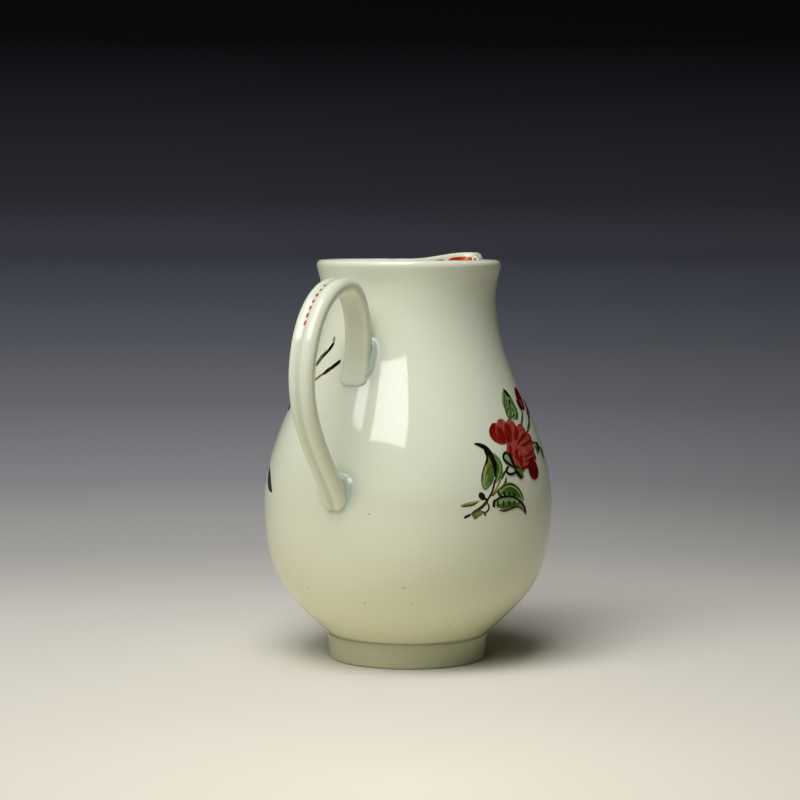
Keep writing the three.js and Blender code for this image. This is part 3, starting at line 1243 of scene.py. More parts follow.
@dataclass
class Handle(JugPiece):
    """The loop handle: a strap with two reeds outside, pressed on to the wall at both ends.

    The guides say how far each stretch of the loop keeps the direction of its two ends, as shares of
    its reach or rise.
    """

    vessel: VesselShape
    width: float = 5.9
    thickness: float = 2.9
    groove: float = 0.6
    groove_aside: float = 0.3
    groove_pool: float = 0.4
    groove_spread: float = 0.6
    reed_blend: float = 0.9
    reed_points: int = 33
    corner: float = 0.9
    corner_points: int = 6
    flat_points: int = 9
    upper_height: float = 67.5
    lower_height: float = 37.6
    upper_end: float = 60.8
    lower_end: float = 35.7
    arch: Pair = (29.5, 83.1)
    bow: Pair = (45.59, 63.9)
    lower_angle: float = 62.0
    upper_guides: Pair = (0.62, 0.6)
    arch_guides: Pair = (0.61, 0.49)
    lower_guides: Pair = (0.42, 0.3)
    path_steps: int = 60
    upper_proud: float = 0.5
    lower_proud: float = 0.7
    proud_blend: float = 1.2
    sunk: float = 0.8
    upper_aside: float = 0.55
    aside_span: Pair = (2.0, 16.0)
    upper_flare: float = 0.1
    lower_flare: float = 0.08
    flare_length: float = 5.0
    taper: float = 0.12
    taper_span: Pair = (0.45, 0.85)
    upper_round: float = 1.6
    lower_round: float = 2.5
    end_length: float = 1.5
    end_drop: float = 0.75
    joint_pool: float = 0.3
    joint_start: float = 0.1
    joint_spread: float = 0.35
    spacing: float = 0.4

    @cached_property
    def path(self) -> np.ndarray:
        """Draws the middle line of the strap, from the neck to the belly.

        Returns:
            Reaches from the axis and heights, one row for each step.
        """
        vessel, steps = self.vessel, self.path_steps
        upper = np.array([vessel.radius(self.upper_height), self.upper_height])
        lower = np.array([vessel.radius(self.lower_height), self.lower_height])
        arch, bow, slope = np.array(self.arch), np.array(self.bow), heading(self.lower_angle)
        climb, brow, fall = arch - upper, bow - arch, bow - lower
        upper_leave = upper + self.upper_guides[0] * climb * UPWARD
        upper_arrive = arch - self.upper_guides[1] * climb * OUTWARD
        arch_leave = arch + self.arch_guides[0] * brow * OUTWARD
        arch_arrive = bow - self.arch_guides[1] * brow * UPWARD
        lower_leave = bow - self.lower_guides[0] * fall * UPWARD
        lower_arrive = lower + self.lower_guides[1] * fall[1] * slope
        line = np.vstack(
            [
                [(upper[0], self.upper_end)],
                bezier(upper, upper_leave, upper_arrive, arch, steps),
                bezier(arch, arch_leave, arch_arrive, bow, steps)[1:],
                bezier(bow, lower_leave, lower_arrive, lower, steps)[1:],
                [lower - (self.lower_height - self.lower_end) / slope[1] * slope],
            ]
        )
        line = even_line(line, self.spacing)
        on_neck = np.arange(len(line)) < np.argmax(line[:, 1])
        proud = np.where(on_neck, self.upper_proud, self.lower_proud)
        seat = vessel.radius(line[:, 1]) + proud - self.thickness / 2
        line[:, 0] = soft_larger(line[:, 0], seat, self.proud_blend)
        return even_line(line, self.spacing)

    @cached_property
    def outward(self) -> np.ndarray:
        """Directions from the middle line to the outer side of the loop."""
        return left_of(self.path)

    @cached_property
    def section(self) -> np.ndarray:
        """Draws the outline of the strap, with the reeds first and then the flat inside.

        Returns:
            Places across and outwards.
        """
        half, back = self.width / 2, -self.thickness / 2
        reed = half + self.groove - math.sqrt(self.width * self.groove)
        centre_across, centre_out = half - reed, self.thickness / 2 - reed
        across = half * np.cos(np.linspace(0, math.pi, self.reed_points))
        sides = [
            centre_out + np.sqrt(np.maximum(reed**2 - (across - side * centre_across) ** 2, 0))
            for side in (1, -1)
        ]
        aside = self.groove_aside * (1 - (across / half) ** 2)
        reeds = np.stack([across + aside, soft_larger(sides[0], sides[1], self.reed_blend)], axis=1)
        bend = np.linspace(0, math.pi / 2, self.corner_points)[1:]
        rounded = np.stack([1 - np.cos(bend), 1 - np.sin(bend)], axis=1)
        left = self.corner * rounded + [-half, back]
        right = left[::-1] * [-1, 1]
        level = np.linspace(-half + self.corner, half - self.corner, self.flat_points)[1:-1]
        flat = np.stack([level, np.full(len(level), back)], axis=1)
        return np.vstack([reeds, left, flat, right])

    def sections(self) -> tuple[np.ndarray, np.ndarray]:
        """Gives the strap's outline at each step of its path, with flared and rounded ends.

        Returns:
            Places across and places outwards, one row for each step.
        """
        steps = np.arange(len(self.path)) * self.spacing
        from_end = np.minimum(steps, steps[::-1])
        on_neck = np.arange(len(self.path)) < np.argmax(self.path[:, 1])
        close = 1 - np.minimum(from_end / np.where(on_neck, self.upper_round, self.lower_round), 1)
        flare = self.upper_flare * fall_off(steps, self.flare_length)
        flare += self.lower_flare * fall_off(steps[::-1], self.flare_length)
        slender = 1 - self.taper * smoothstep(steps / steps[-1], *self.taper_span)
        narrow = np.sqrt(np.maximum(1 - close**2, 0)) * (1 + flare) * slender
        aside = self.upper_aside * (1 - smoothstep(steps, *self.aside_span))
        across = narrow[:, None] * self.section[None, :, 0] + aside[:, None]
        edge = 1 - np.minimum(from_end / self.end_length, 1)
        drop = self.end_drop * (1 - np.sqrt(np.maximum(1 - edge**2, 0)))
        inner_end = np.where(on_neck, 1, -1)[:, None]
        out = np.tile(self.section[None, :, 1], (len(self.path), 1))
        visible = np.clip(-inner_end * out / (self.thickness / 2), 0, 1)
        return across, out + inner_end * drop[:, None] * visible

    def build(self) -> bpy.types.Object:
        """Sweeps the strap along its path and sets its ends into the wall.

        Returns:
            The handle, with glaze pooled in its groove and at its joints.
        """
        path, outward, section = self.path, self.outward, self.section
        across, out = self.sections()
        reach = path[:, :1] + outward[:, :1] * out
        height = path[:, 1:] + outward[:, 1:] * out
        distance = np.hypot(reach, across)
        wall, (lean, _) = self.vessel.radius(height), self.vessel.normal(height)
        push = np.maximum((wall - self.sunk / lean) / np.maximum(distance, 1e-6), 1)
        points = np.stack([-reach * push, across * push, height], axis=-1).reshape(-1, 3)
        from_groove = np.abs(section[:, 0] - self.groove_aside)
        valley = fall_off(from_groove, self.groove_spread) * (section[:, 1] > 0)
        joint = fall_off((distance - wall) * lean - self.joint_start, self.joint_spread)
        pool = np.maximum(self.groove_pool * valley[None, :], self.joint_pool * joint).ravel()
        faces = tube_faces(len(path), len(section))
        return make_piece("reeded_handle", points, faces, PORCELAIN.material(), {"pool": pool})

    def dress(self) -> bpy.types.Object:
        """Builds the handle and hands it in."""
        return self.hand_in(self.build(), "glaze", "handle")


@dataclass
class HandleSlip(JugPiece):
    """The collar of slip round one end of the strap, with a rounded edge, a painted highlight along it,
    and pooled glaze.
    """

    vessel: VesselShape
    name: str
    node: str
    joint: JointPad
    rise: float = 0.6
    bead: float = 1.25
    hollow: float = 0.7
    hollow_to: float = 2.2
    edge_sunk: float = 0.03
    root: float = -1.2
    edge_pool: float = 0.05
    full_pool: float = 0.8
    pool_span: Pair = (0.35, 0.9)
    rings: int = 26
    crowding: float = 1.6
    spokes: int = 112

    def build(self) -> bpy.types.Object:
        """Builds the collar as rings from its edge to its middle, and closes it inside the wall.

        Returns:
            The collar.
        """
        joint, vessel = self.joint, self.vessel
        outline = joint.edge(np.linspace(0, 2 * math.pi, self.spokes, endpoint=False))
        size = np.hypot(outline[:, 0], outline[:, 1])
        points, pool = [], []
        for share in np.linspace(0, 1, self.rings) ** self.crowding:
            inside = share * size
            edge = np.clip(inside / self.bead, 0, 1)
            sunk = self.hollow * smoothstep(inside, self.bead, self.hollow_to * self.bead)
            lift = self.rise * smoothstep(edge, 0, 1) * (1 - sunk) - self.edge_sunk * (1 - edge)
            across, up = outline.T * (1 - share)
            across, height = joint.aside + across, joint.height + up
            points.append(vessel.on_wall(math.pi - across / vessel.radius(height), height, lift))
            # Less pool tint near the edge leaves more of the collar's paler colour there, a painted
            # highlight; inwards the glaze turns bluer where it pools
            deep = smoothstep(inside, *self.pool_span)
            pool.append(self.edge_pool + (self.full_pool - self.edge_pool) * deep)
        points.append(vessel.on_wall(np.array([math.pi]), np.array([joint.height]), self.root))
        pool.append(np.zeros(1))
        last = self.rings * self.spokes
        faces = grid_faces(self.rings, self.spokes, around=True)
        faces += [(at, (at + 1) % self.spokes, last) for at in range(self.spokes)]
        marks = {"pool": np.concatenate(pool)}
        return make_piece(self.name, np.vstack(points), faces, COLLAR_GLAZE.material(), marks)

    def dress(self) -> bpy.types.Object:
        """Builds the collar and hands it in."""
        return self.hand_in(self.build(), "pooled_glaze", self.node)


@dataclass
class EnamelWork(JugPiece):
    """Brush strokes on the wall, gathered by pigment into one raised piece for each."""

    vessel: VesselShape
    name: str
    strokes: tuple[Stroke, ...]
    turn: float
    height: float
    mirrored: bool = False
    coat: float = 0.005
    spacing: float = 0.1
    row_length: float = 0.3
    rows: tuple[int, int] = (16, 44)
    fine_below: float = 1.0
    fine_sides: int = 5
    broad_sides: int = 9
    hair_run: float = 3.7

    def on_surface(self, places: np.ndarray, lift: Any) -> np.ndarray:
        """Lays places on to the wall.

        Args:
            places: Places round and up from the heart of the work.
            lift: How far they stand off the wall.

        Returns:
            A point for each place.
        """
        side = -1 if self.mirrored else 1
        turn = math.radians(self.turn) + side * places[..., 0] / float(self.vessel.radius(self.height))
        return self.vessel.on_wall(turn, self.height + places[..., 1], lift)

    def lay(self, order: int, stroke: Stroke, line: np.ndarray, depth: int) -> Shell:
        """Lays one stroke on the wall.

        Args:
            order: Its number, which sets the run of its brush hairs.
            stroke: The stroke.
            line: Points along its middle.
            depth: How many coats lie under and in it.

        Returns:
            Its skin.
        """
        length = run_along(line)[-1]
        rows = int(np.clip(length / self.row_length, *self.rows))
        share = (1 - np.cos(np.linspace(0, math.pi, rows))) / 2
        places_along = np.linspace(0, 1, len(line))
        line = np.stack([np.interp(share, places_along, column) for column in line.T], axis=1)
        sides = self.fine_sides if stroke.width < self.fine_below else self.broad_sides
        across = np.linspace(-1, 1, sides)
        half = stroke.width * stroke.touch.width(share) / 2
        spread = half[:, None, None] * across[None, :, None]
        places = line[:, None, :] + left_of(line)[:, None, :] * spread
        top = self.on_surface(places, self.coat * (depth + np.sqrt(1 - across**2)))
        under = self.on_surface(line[:, None, :], IN_THE_GLAZE)
        points = np.concatenate([top, under], axis=1).reshape(-1, 3)
        brush = brush_marks(stroke.width / 2, share * length, sides, order * self.hair_run)
        return Shell(points, tube_faces(rows, sides + 1), brush)

    def dress(self) -> None:
        """Lays all strokes, each on those that it overlaps, and hands in one piece for each pigment."""
        dry, layers = [], {}
        for order, stroke in enumerate(self.strokes):
            line = flowing_line(stroke.places, self.spacing)
            low, high = line.min(axis=0) - stroke.width / 2, line.max(axis=0) + stroke.width / 2
            under = [depth for depth, start, end in dry if np.all(low < end) and np.all(start < high)]
            depth = 1 + max(under, default=0)
            dry.append((depth, low, high))
            layers.setdefault(stroke.pigment, []).append(self.lay(order, stroke, line, depth))
        for pigment, shells in layers.items():
            self.hand_in(paint(f"{self.name}_{pigment.name.lower()}", shells, pigment), "glaze")


# Strokes are given by their width and by places in mm round and up from the heart of the flower

# Gathered stems with a scribbled foot, a berry and a sprig
STEMS = (
    BROWN.line(0.5, (-8.5, -6), (-9.5, -8.5), (-11, -10.5)),
    BROWN.line(0.7, (-10.5, -10), (-12, -11.5), (-14.5, -13)),
    BLACK.line(0.6, (-14.5, -13), (-16, -13.7)),
    BROWN.line(0.6, (-5.5, -4.5), (-7, -6.2)),
    OCHRE.tail(0.5, (-7, -6.2), (-8.5, -8), (-9.7, -9.3)),
    BROWN.line(0.5, (-5.5, -5.7), (-6, -6.9), (-8, -8.5)),
    OCHRE.line(0.5, (-7, -7.6), (-9.8, -9.5)),
    OCHRE.dab(1.3, (-14.3, -13.4), (-11.8, -12.6)),
    BROWN.line(0.4, (-14, -12.6), (-12.5, -11.8)),
    BROWN.line(0.4, (-11.8, -12.5), (-11.2, -13.6)),
    BROWN.line(0.4, (-10.9, -10.6), (-10.5, -12), (-11.6, -13.1)),
    BROWN.line(0.3, (-14, -14), (-13, -13.7)),
    PALE_GREEN.leaf(0.6, (-16.7, -11), (-14, -10.6), (-12.3, -10.2)),
    OCHRE.leaf(0.5, (-16.5, -11.2), (-14.3, -11), (-12.7, -10.4)),
    BROWN.line(0.25, (-16.7, -11.3), (-14.5, -11.2), (-13, -10.6)),
    BLACK.dab(1.4, (-12.5, -8.6), (-11.5, -10.1)),
    BLACK.line(0.5, (-11.6, -9.8), (-10.7, -10.2)),
)

# Leaf above the flower
TOP_LEAF = (
    PALE_GREEN.leaf(5.8, (2.5, 12.3), (2.5, 9), (2, 5.5)),
    GREEN.line(0.7, (2.3, 11.8), (0.5, 9), (0, 6.7), (1.2, 5.9)),
    GREEN.line(1.0, (3.7, 10.4), (5, 8), (4.5, 6.7), (3, 5.6)),
    BLACK.leaf(1.2, (2.2, 12.3), (3.1, 11.3), (4.3, 10.2)),
    GREEN.line(0.9, (3.5, 10), (1.8, 7.4), (1, 6)),
    BLACK.tail(0.8, (3.3, 9.9), (2.2, 8.6)),
    *ribs(GREEN.tail(0.7, (2, 9.7), (0.3, 8.2)), 3, (1.7, 7.4), (-1.5, -1.1)),
    GREEN.tail(0.8, (2.5, 8), (3.8, 7.5)),
    BLACK.tail(0.4, (3.2, 6.8), (1.3, 6.2)),
)

# Two buds on stems
BUDS = (
    GREEN.line(0.7, (8.5, 7.7), (7.5, 6.5), (3.6, 3.7)),
    GREEN.line(0.8, (11.9, 5.9), (10.5, 4.8), (6.4, 2.8)),
    DEEP_CARMINE.dab(4.6, (11.4, 11.9), (10.4, 10.1), (9, 7.5)),
    PINK.dab(1.8, (10.2, 9.6), (9.6, 8)),
    BLACK.leaf(1.6, (7.1, 9.6), (8, 8), (8, 6.9)),
    CARMINE.dab(2.6, (16.4, 9), (15, 7.7), (13.4, 6.3)),
    BLACK.leaf(1.5, (12.6, 7.3), (12.4, 6.4), (11.2, 5.3)),
)

# Leaf at the left, ochre above and green below, under a heavy rib
LEFT_LEAF = (
    PALE_GREEN.leaf(3.1, (-9.1, -0.6), (-9.2, -2.8), (-10.1, -5.2), (-11.3, -8)),
    PALE_GREEN.leaf(1.9, (-8, -0.5), (-7, -2.5), (-7.3, -5), (-8.7, -7)),
    OCHRE.leaf(1.5, (-9.3, -0.4), (-9.4, -3), (-10.5, -5.2)),
    GREEN.leaf(0.9, (-8.3, -2.5), (-9.5, -5), (-11, -7.5)),
    GREEN.tail(0.6, (-9.1, -2.8), (-11.2, -6.2)),
    GREEN.leaf(0.7, (-8.4, -4), (-9.4, -6.3), (-10.8, -7.8)),
    GREEN.leaf(0.7, (-7.6, -2), (-7.3, -3.6), (-7.7, -5.2)),
    BROWN.line(0.3, (-9.9, -2.2), (-11.4, -4.6), (-11.9, -6.9)),
    GREEN.line(0.3, (-11.9, -6.2), (-11.4, -7.9), (-9.9, -7.2)),
    GREEN.line(0.4, (-7.9, -1), (-6.4, -3), (-7, -5.2), (-8, -6.4)),
    BLACK.line(0.5, (-10.1, 0.3), (-9.7, -1.4), (-10.4, -3)),
    BLACK.leaf(1.35, (-12.4, 1.5), (-9.6, 0.4), (-8.2, -2.6), (-8.4, -6)),
    BLACK.line(0.6, (-12.2, 1.4), (-10.5, 1.2)),
    BLACK.tail(0.6, (-8.1, -4), (-8.2, -5.5), (-8.9, -7.2)),
)

# Leaf at the lower right, ribbed in black
LOW_LEAF = (
    PALE_GREEN.leaf(3.0, (-8, -9.3), (-6.6, -8.4), (-4.5, -8.5), (-1, -11)),
    PALE_GREEN.leaf(2.9, (-9.5, -11), (-6, -11.2), (-4, -11), (-1.2, -12.2)),
    GREEN.leaf(1.7, (-8.8, -11.5), (-6, -11.8), (-2.5, -11.7)),
    GREEN.leaf(1.5, (-7.6, -9.2), (-5, -8.6), (-1.8, -10.4)),
    BROWN.line(0.4, (-7.7, -8.3), (-6, -7.4), (-4, -7.5), (-2.2, -8.7), (-1, -11)),
    BROWN.line(0.4, (-8.1, -12.5), (-6.6, -12.8), (-3, -12.2), (-1, -13.4)),
    BLACK.line(0.5, (-8, -8.4), (-8.1, -9), (-7.4, -9.8)),
    BLACK.line(0.5, (-9.2, -10.5), (-7.5, -9.9), (-4.7, -9.9), (-2, -11.2)),
    BLACK.line(0.7, (-2.4, -11), (-1, -12.5), (-0.5, -14.1)),
    BLACK.line(0.6, (-9, -10.2), (-9.4, -11), (-9.3, -11.9)),
    *ribs(BLACK.line(0.4, (-8.4, -10.4), (-8.4, -12)), 5, (-2.6, -11), (0, -0.7)),
    *ribs(BLACK.line(0.45, (-6.7, -8.6), (-6.5, -9.8)), 3, (-4.1, -9.2), (0.3, -1)),
)

# Petals washed in thin carmine, then drawn with the full colour, and one laid on thick
FLOWER = (
    PINK.petal(3.4, (-4, 1), (-5.4, 3), (-5.4, 5.5)),
    PINK.petal(3.8, (-3, 1), (-3.2, 3.5), (-2.6, 6.1)),
    PINK.petal(3.8, (-2, 1), (-0.5, 3.3), (1.4, 5.5)),
    PINK.petal(4.0, (-1.3, 0.2), (2, 2), (5.6, 3.6)),
    PINK.petal(2.6, (-1.4, -0.3), (2.7, 0.9), (7.7, 1.7)),
    PINK.petal(2.5, (-1.8, -1.2), (2, -1), (7.3, -0.5)),
    PINK.petal(2.7, (-2, -1.8), (2, -2), (7, -2.5)),
    PINK.petal(2.7, (-1.7, -2.7), (1.7, -3.3), (5.8, -4)),
    PINK.dab(3.2, (-1.9, 1.2), (-2.5, -1), (-1.9, -3.2)),
    PINK.dab(4.6, (-1.4, -0.2), (-0.7, -2.3), (0.3, -5)),
    CARMINE.leaf(1.9, (-5.4, 5.4), (-6.9, 3.3), (-4.9, 1)),
    CARMINE.leaf(1.5, (-4.7, 5), (-4.8, 2.7), (-4, 1)),
    CARMINE.leaf(1.3, (-4.1, 4.6), (-4, 2.7), (-3.5, 1)),
    CARMINE.leaf(1.8, (-1.7, 5.5), (-2.2, 3.3), (-2.7, 1)),
    CARMINE.leaf(1.3, (-0.6, 5), (-1.5, 3.2), (-2, 1)),
    CARMINE.leaf(1.4, (1.5, 4.6), (1.4, 3.2), (-0.4, 1.6)),
    CARMINE.leaf(0.7, (6.2, 3), (2.7, 1.8), (0, 0.7)),
    CARMINE.leaf(0.7, (7, 1.3), (4.3, 0.6), (1, 0.2)),
    CARMINE.leaf(0.9, (6.6, 2.4), (6.9, 1.1), (6.6, -0.2)),
    CARMINE.leaf(1.0, (-2.3, 0.8), (-2.9, -0.7), (-2.7, -2.1)),
    CARMINE.leaf(1.2, (-0.3, -0.2), (-1.2, -1.3), (-1, -2.6)),
    CARMINE.leaf(1.4, (0.6, -1.7), (-0.4, -2.9), (-0.3, -4.1)),
    *ribs(CARMINE.leaf(0.5, (7, -1), (1.2, -2.2)), 3, (6.2, -3.7), (-5.8, -0.5)),
    CARMINE.leaf(0.6, (-2.2, -3.6), (-0.5, -4.4), (1.6, -4.1)),
    DEEP_CARMINE.dab(4.4, (2.4, -3.6), (4, -5), (5.3, -6.7)),
)

# Calyx of two loops and a bract
CALYX = (
    GREEN.leaf(1.7, (-3.2, -3.3), (-1.6, -4.6), (-0.3, -6.3)),
    PALE_GREEN.dab(1.5, (-5, -1.1), (-4.5, -2), (-3.7, -2.9)),
    BLACK.line(0.6, (-3.3, -1.4), (-4.5, -0.8), (-5.5, -1.6), (-5, -2.6), (-3, -4)),
    BLACK.line(0.9, (-3.7, -1), (-3.1, -2.5), (-2.5, -4.6)),
    BLACK.line(0.8, (-2.7, -4.3), (-2, -5.5), (-0.9, -6.5)),
    BLACK.line(0.55, (-4.4, -3.5), (-5.5, -4.6), (-4.2, -5.3), (-2.4, -4.9)),
    BROWN.line(0.4, (-3.1, -3.5), (-1.2, -4.3)),
)

# Sprig beyond the flower
EDGE_SPRIG = (
    BLACK.line(0.35, (6.7, 0.2), (8, 0.5), (10.1, -0.1)),
    BLACK.leaf(1.7, (9.9, 0.4), (10.1, -0.5), (9.4, -1.5)),
    GREEN.leaf(1.3, (8, -0.3), (8.5, -1.2), (8.4, -2.1)),
    GREEN.leaf(1.7, (11.5, -0.7), (12, -2), (11.7, -3.4)),
)

FLOWER_SPRAY = STEMS + TOP_LEAF + BUDS + LEFT_LEAF + LOW_LEAF + FLOWER + CALYX + EDGE_SPRIG

# Blades and a leaf that reach round to the handle from the spray on the other side
FAR_BLADES = (
    GREEN.line(0.7, (3.5, 6), (12.5, 10), (19.5, 14), (25.5, 18)),
    GREEN.leaf(1.5, (24.5, 17), (26.5, 19), (29, 20.8)),
    BLACK.tail(1.4, (32, 23), (30.5, 21.5), (27, 19), (25, 17.5)),
    GREEN.tail(1.1, (26, 18.5), (27.5, 20), (28.5, 21.3)),
    PALE_GREEN.dab(1.4, (31.8, 22.7), (31, 24)),
    OCHRE.line(0.9, (3.5, 4.5), (14, 8.4), (21, 11.5), (32, 16.7)),
    BROWN.leaf(1.1, (30, 15.8), (32, 16.7), (34.5, 17.9)),
    BLACK.line(1.0, (33.2, 17.2), (35, 18.2), (36.6, 19)),
    BLACK.leaf(1.8, (10.5, 9.6), (13.4, 9), (17, 7.4)),
    GREEN.line(0.5, (2.5, 2.5), (11, -1.5), (18, -5.5)),
    BLACK.leaf(2.6, (16.8, -4.8), (19, -7), (20.5, -8.4), (22.8, -9.8)),
)

# Specks of iron that the photograph shows in the glaze under the handle
SEEN_SPECKS = (
    IRON_SPECK.dab(0.6, (-8.6, 15.2), (-8.3, 15.6)),
    IRON_SPECK.dab(0.7, (-1.8, -0.4), (-1.4, 0)),
    IRON_SPECK.dab(0.4, (0.1, -4.1), (0.4, -4)),
    IRON_SPECK.dab(0.4, (10.8, -9.8), (11.1, -9.5)),
    IRON_SPECK.dab(0.5, (-25.7, -2.2), (-25.4, -1.8)),
)


@dataclass
class RimBorder(JugPiece):
    """Iron-red dashes painted round the inside of the rim, and on into the beak."""

    vessel: VesselShape
    middle: float = 86.4
    tall: float = 1.2
    count: int = 17
    gap: float = 0.9
    start: float = -1.3
    proud: float = 0.02
    body: float = 0.025
    steps: int = 33
    sides: int = 7
    sweep_steps: int = 1600
    sweep_over: float = 1.1
    hair_run: float = 3.1

    def on_rim(self, height: float, turn: np.ndarray, lift: float) -> np.ndarray:
        """Gives points over the inside of the rim.

        Args:
            height: Height above the table, before the beak lifts it.
            turn: Angles round the axis from the beak's ridge, in radians.
            lift: How far the points stand off the wall.

        Returns:
            One row for each angle.
        """
        inside = self.vessel.inside
        radius = float(np.interp(height, inside[:, 1], inside[:, 0]))
        points = self.vessel.ring(Row(radius, height, 1.0, radius, height), turn)
        inward = 1 - lift / np.hypot(points[:, 0], points[:, 1])
        return points * np.stack([inward, inward, np.ones_like(inward)], axis=1)

    def dash(self, turn: np.ndarray) -> np.ndarray:
        """Gives the points of one dash, and under each step one in the glaze.

        Args:
            turn: Angles of its steps from the beak's ridge, in radians.

        Returns:
            Its points, step by step.
        """
        tall = self.tall * Touch.LINE.width(np.linspace(0, 1, self.steps))
        rows = []
        for across in np.linspace(-1, 1, self.sides):
            lift = self.proud + self.body * math.sqrt(1 - across**2)
            heights = self.middle + across * tall / 2
            spots = [self.on_rim(up, turn[at : at + 1], lift) for at, up in enumerate(heights)]
            rows.append(np.vstack(spots))
        rows.append(self.on_rim(self.middle, turn, IN_THE_GLAZE))
        return np.stack(rows, axis=1).reshape(-1, 3)

    def dress(self) -> bpy.types.Object:
        """Lays the dashes one after another, with one of them over the beak's ridge.

        Returns:
            The border.
        """
        far = self.sweep_over * math.pi
        sweep = np.linspace(-far, far, self.sweep_steps + 1)
        along = run_along(self.on_rim(self.middle, sweep, 0.0))
        along -= np.interp(0, sweep, along)
        pitch = 2 * float(np.interp(math.pi, sweep, along)) / self.count
        shells = []
        for number in range(self.count):
            begin = self.start + (number - self.count // 2) * pitch
            places = np.linspace(begin, begin + pitch - self.gap, self.steps)
            points = self.dash(np.interp(places, along, sweep))
            brush = brush_marks(self.tall / 2, places, self.sides, number * self.hair_run)
            shells.append(Shell(points, tube_faces(self.steps, self.sides + 1), brush))
        return self.hand_in(paint("rim_border_red", shells, IRON_RED), "glaze")


@dataclass
class HandleDashes(JugPiece):
    """Iron-red dashes down the groove of the handle, set along its path by a node tree."""

    handle: Handle
    top: float = 83.0
    bottom: float = 75.4
    count: int = 7
    length: float = 1.3
    width: float = 0.85
    body: float = 0.2
    smallest: tuple[float, float, float] = (0.75, 0.5, 0.7)
    lift: float = 0.24
    dab_sides: tuple[int, int] = (14, 9)
    seed: int = 4

    @property
    def sizes(self) -> Sizes:
        """Gives the node tree's named inputs.

        Returns:
            Their values, with lengths in metres.
        """
        large = Vector((self.width, self.body, self.length)) * MM
        return {
            "Count": self.count,
            "Small": large * Vector(self.smallest),
            "Large": large,
            "Seed": self.seed,
            "Material": IRON_RED.value.material(),
        }

    def groove_line(self) -> bpy.types.Mesh:
        """Finds the stretch of the groove's bottom that is painted.

        Returns:
            A line of edges along it.
        """
        handle = self.handle
        line = handle.path + handle.outward * (handle.thickness / 2 - handle.groove + self.lift)
        beyond = np.arange(len(line)) > np.argmax(line[:, 1])
        picked = line[beyond & (line[:, 1] < self.top) & (line[:, 1] > self.bottom)]
        aside = np.full(len(picked), handle.groove_aside)
        points = np.stack([-picked[:, 0], aside, picked[:, 1]], axis=1) * MM
        mesh = bpy.data.meshes.new("groove_line")
        edges = [(at, at + 1) for at in range(len(points) - 1)]
        mesh.from_pydata((points + np.array([AXIS_X, 0, 0])).tolist(), edges, [])
        return mesh

    def grow_tree(self) -> bpy.types.NodeTree:
        """Builds the node tree that sets flattened dashes of uneven size along the line.

        Returns:
            The tree.
        """
        tree, sizes = node_tree("handle_dashes_setting", self.sizes)
        add = partial(add_node, tree)
        line = add("GeometryNodeMeshToCurve", {0: sizes["Geometry"]})
        spots = add("GeometryNodeCurveToPoints", {"Curve": line, "Count": sizes["Count"]}, mode="COUNT")
        between = {0: sizes["Small"], 1: sizes["Large"], "Seed": sizes["Seed"]}
        uneven = add("FunctionNodeRandomValue", between, data_type="FLOAT_VECTOR")
        segments, rings = self.dab_sides
        ball = {"Segments": segments, "Rings": rings, "Radius": 0.5}
        dab = add("GeometryNodeMeshUVSphere", ball)
        return end_tree(tree, sizes, set_dabs(tree, spots, dab, uneven))

    def dress(self) -> bpy.types.Object:
        """Grows the dashes and hands them in."""
        piece = grow_piece("handle_dashes_red", self.groove_line(), self.grow_tree(), self.sizes)
        return self.hand_in(piece, "glaze")


@dataclass
class GlazeSpecks(JugPiece):
    """Iron specks that have come through the glaze, scattered over the body by a node tree."""

    body: bpy.types.Object
    per_square_metre: float = 1500.0
    smallest: float = 0.2
    largest: float = 0.6
    flatness: float = 0.12
    dot_sides: tuple[int, int] = (10, 6)
    seed: int = 11

    @property
    def sizes(self) -> Sizes:
        """Gives the node tree's named inputs.

        Returns:
            Their values, with lengths in metres.
        """
        return {
            "Density": self.per_square_metre,
            "Smallest": self.smallest * MM,
            "Largest": self.largest * MM,
            "Seed": self.seed,
            "Material": FAINT_SPECK.material(),
        }

    def grow_tree(self) -> bpy.types.NodeTree:
        """Builds the node tree that scatters flat specks over a mesh.

        Returns:
            The tree.
        """
        tree, sizes = node_tree("glaze_speck_scatter", self.sizes)
        add = partial(add_node, tree)
        wall = {"Mesh": sizes["Geometry"], "Density": sizes["Density"], "Seed": sizes["Seed"]}
        spots = add("GeometryNodeDistributePointsOnFaces", wall, distribute_method="RANDOM")
        between = {2: sizes["Smallest"], 3: sizes["Largest"], "Seed": sizes["Seed"]}
        size = add("FunctionNodeRandomValue", between, data_type="FLOAT")
        segments, rings = self.dot_sides
        ball = {"Segments": segments, "Rings": rings, "Radius": 0.5}
        dot = add("GeometryNodeMeshUVSphere", ball)
        flat = add("GeometryNodeTransform", {"Geometry": dot, "Scale": (1.0, 1.0, self.flatness)})
        return end_tree(tree, sizes, set_dabs(tree, spots, flat, size))

    def dress(self) -> bpy.types.Object:
        """Grows the specks and hands them in."""
        piece = grow_piece("glaze_specks", self.body.data.copy(), self.grow_tree(), self.sizes)
        return self.hand_in(piece, "glaze")


# Painted shade: the table's far end and the room behind it darken alike to the right, so that they meet
# evenly
PAINTED_SHADE_TO_THE_RIGHT = {"From Min": -0.1, "From Max": 0.6, "To Min": 1.0, "To Max": 0.5}


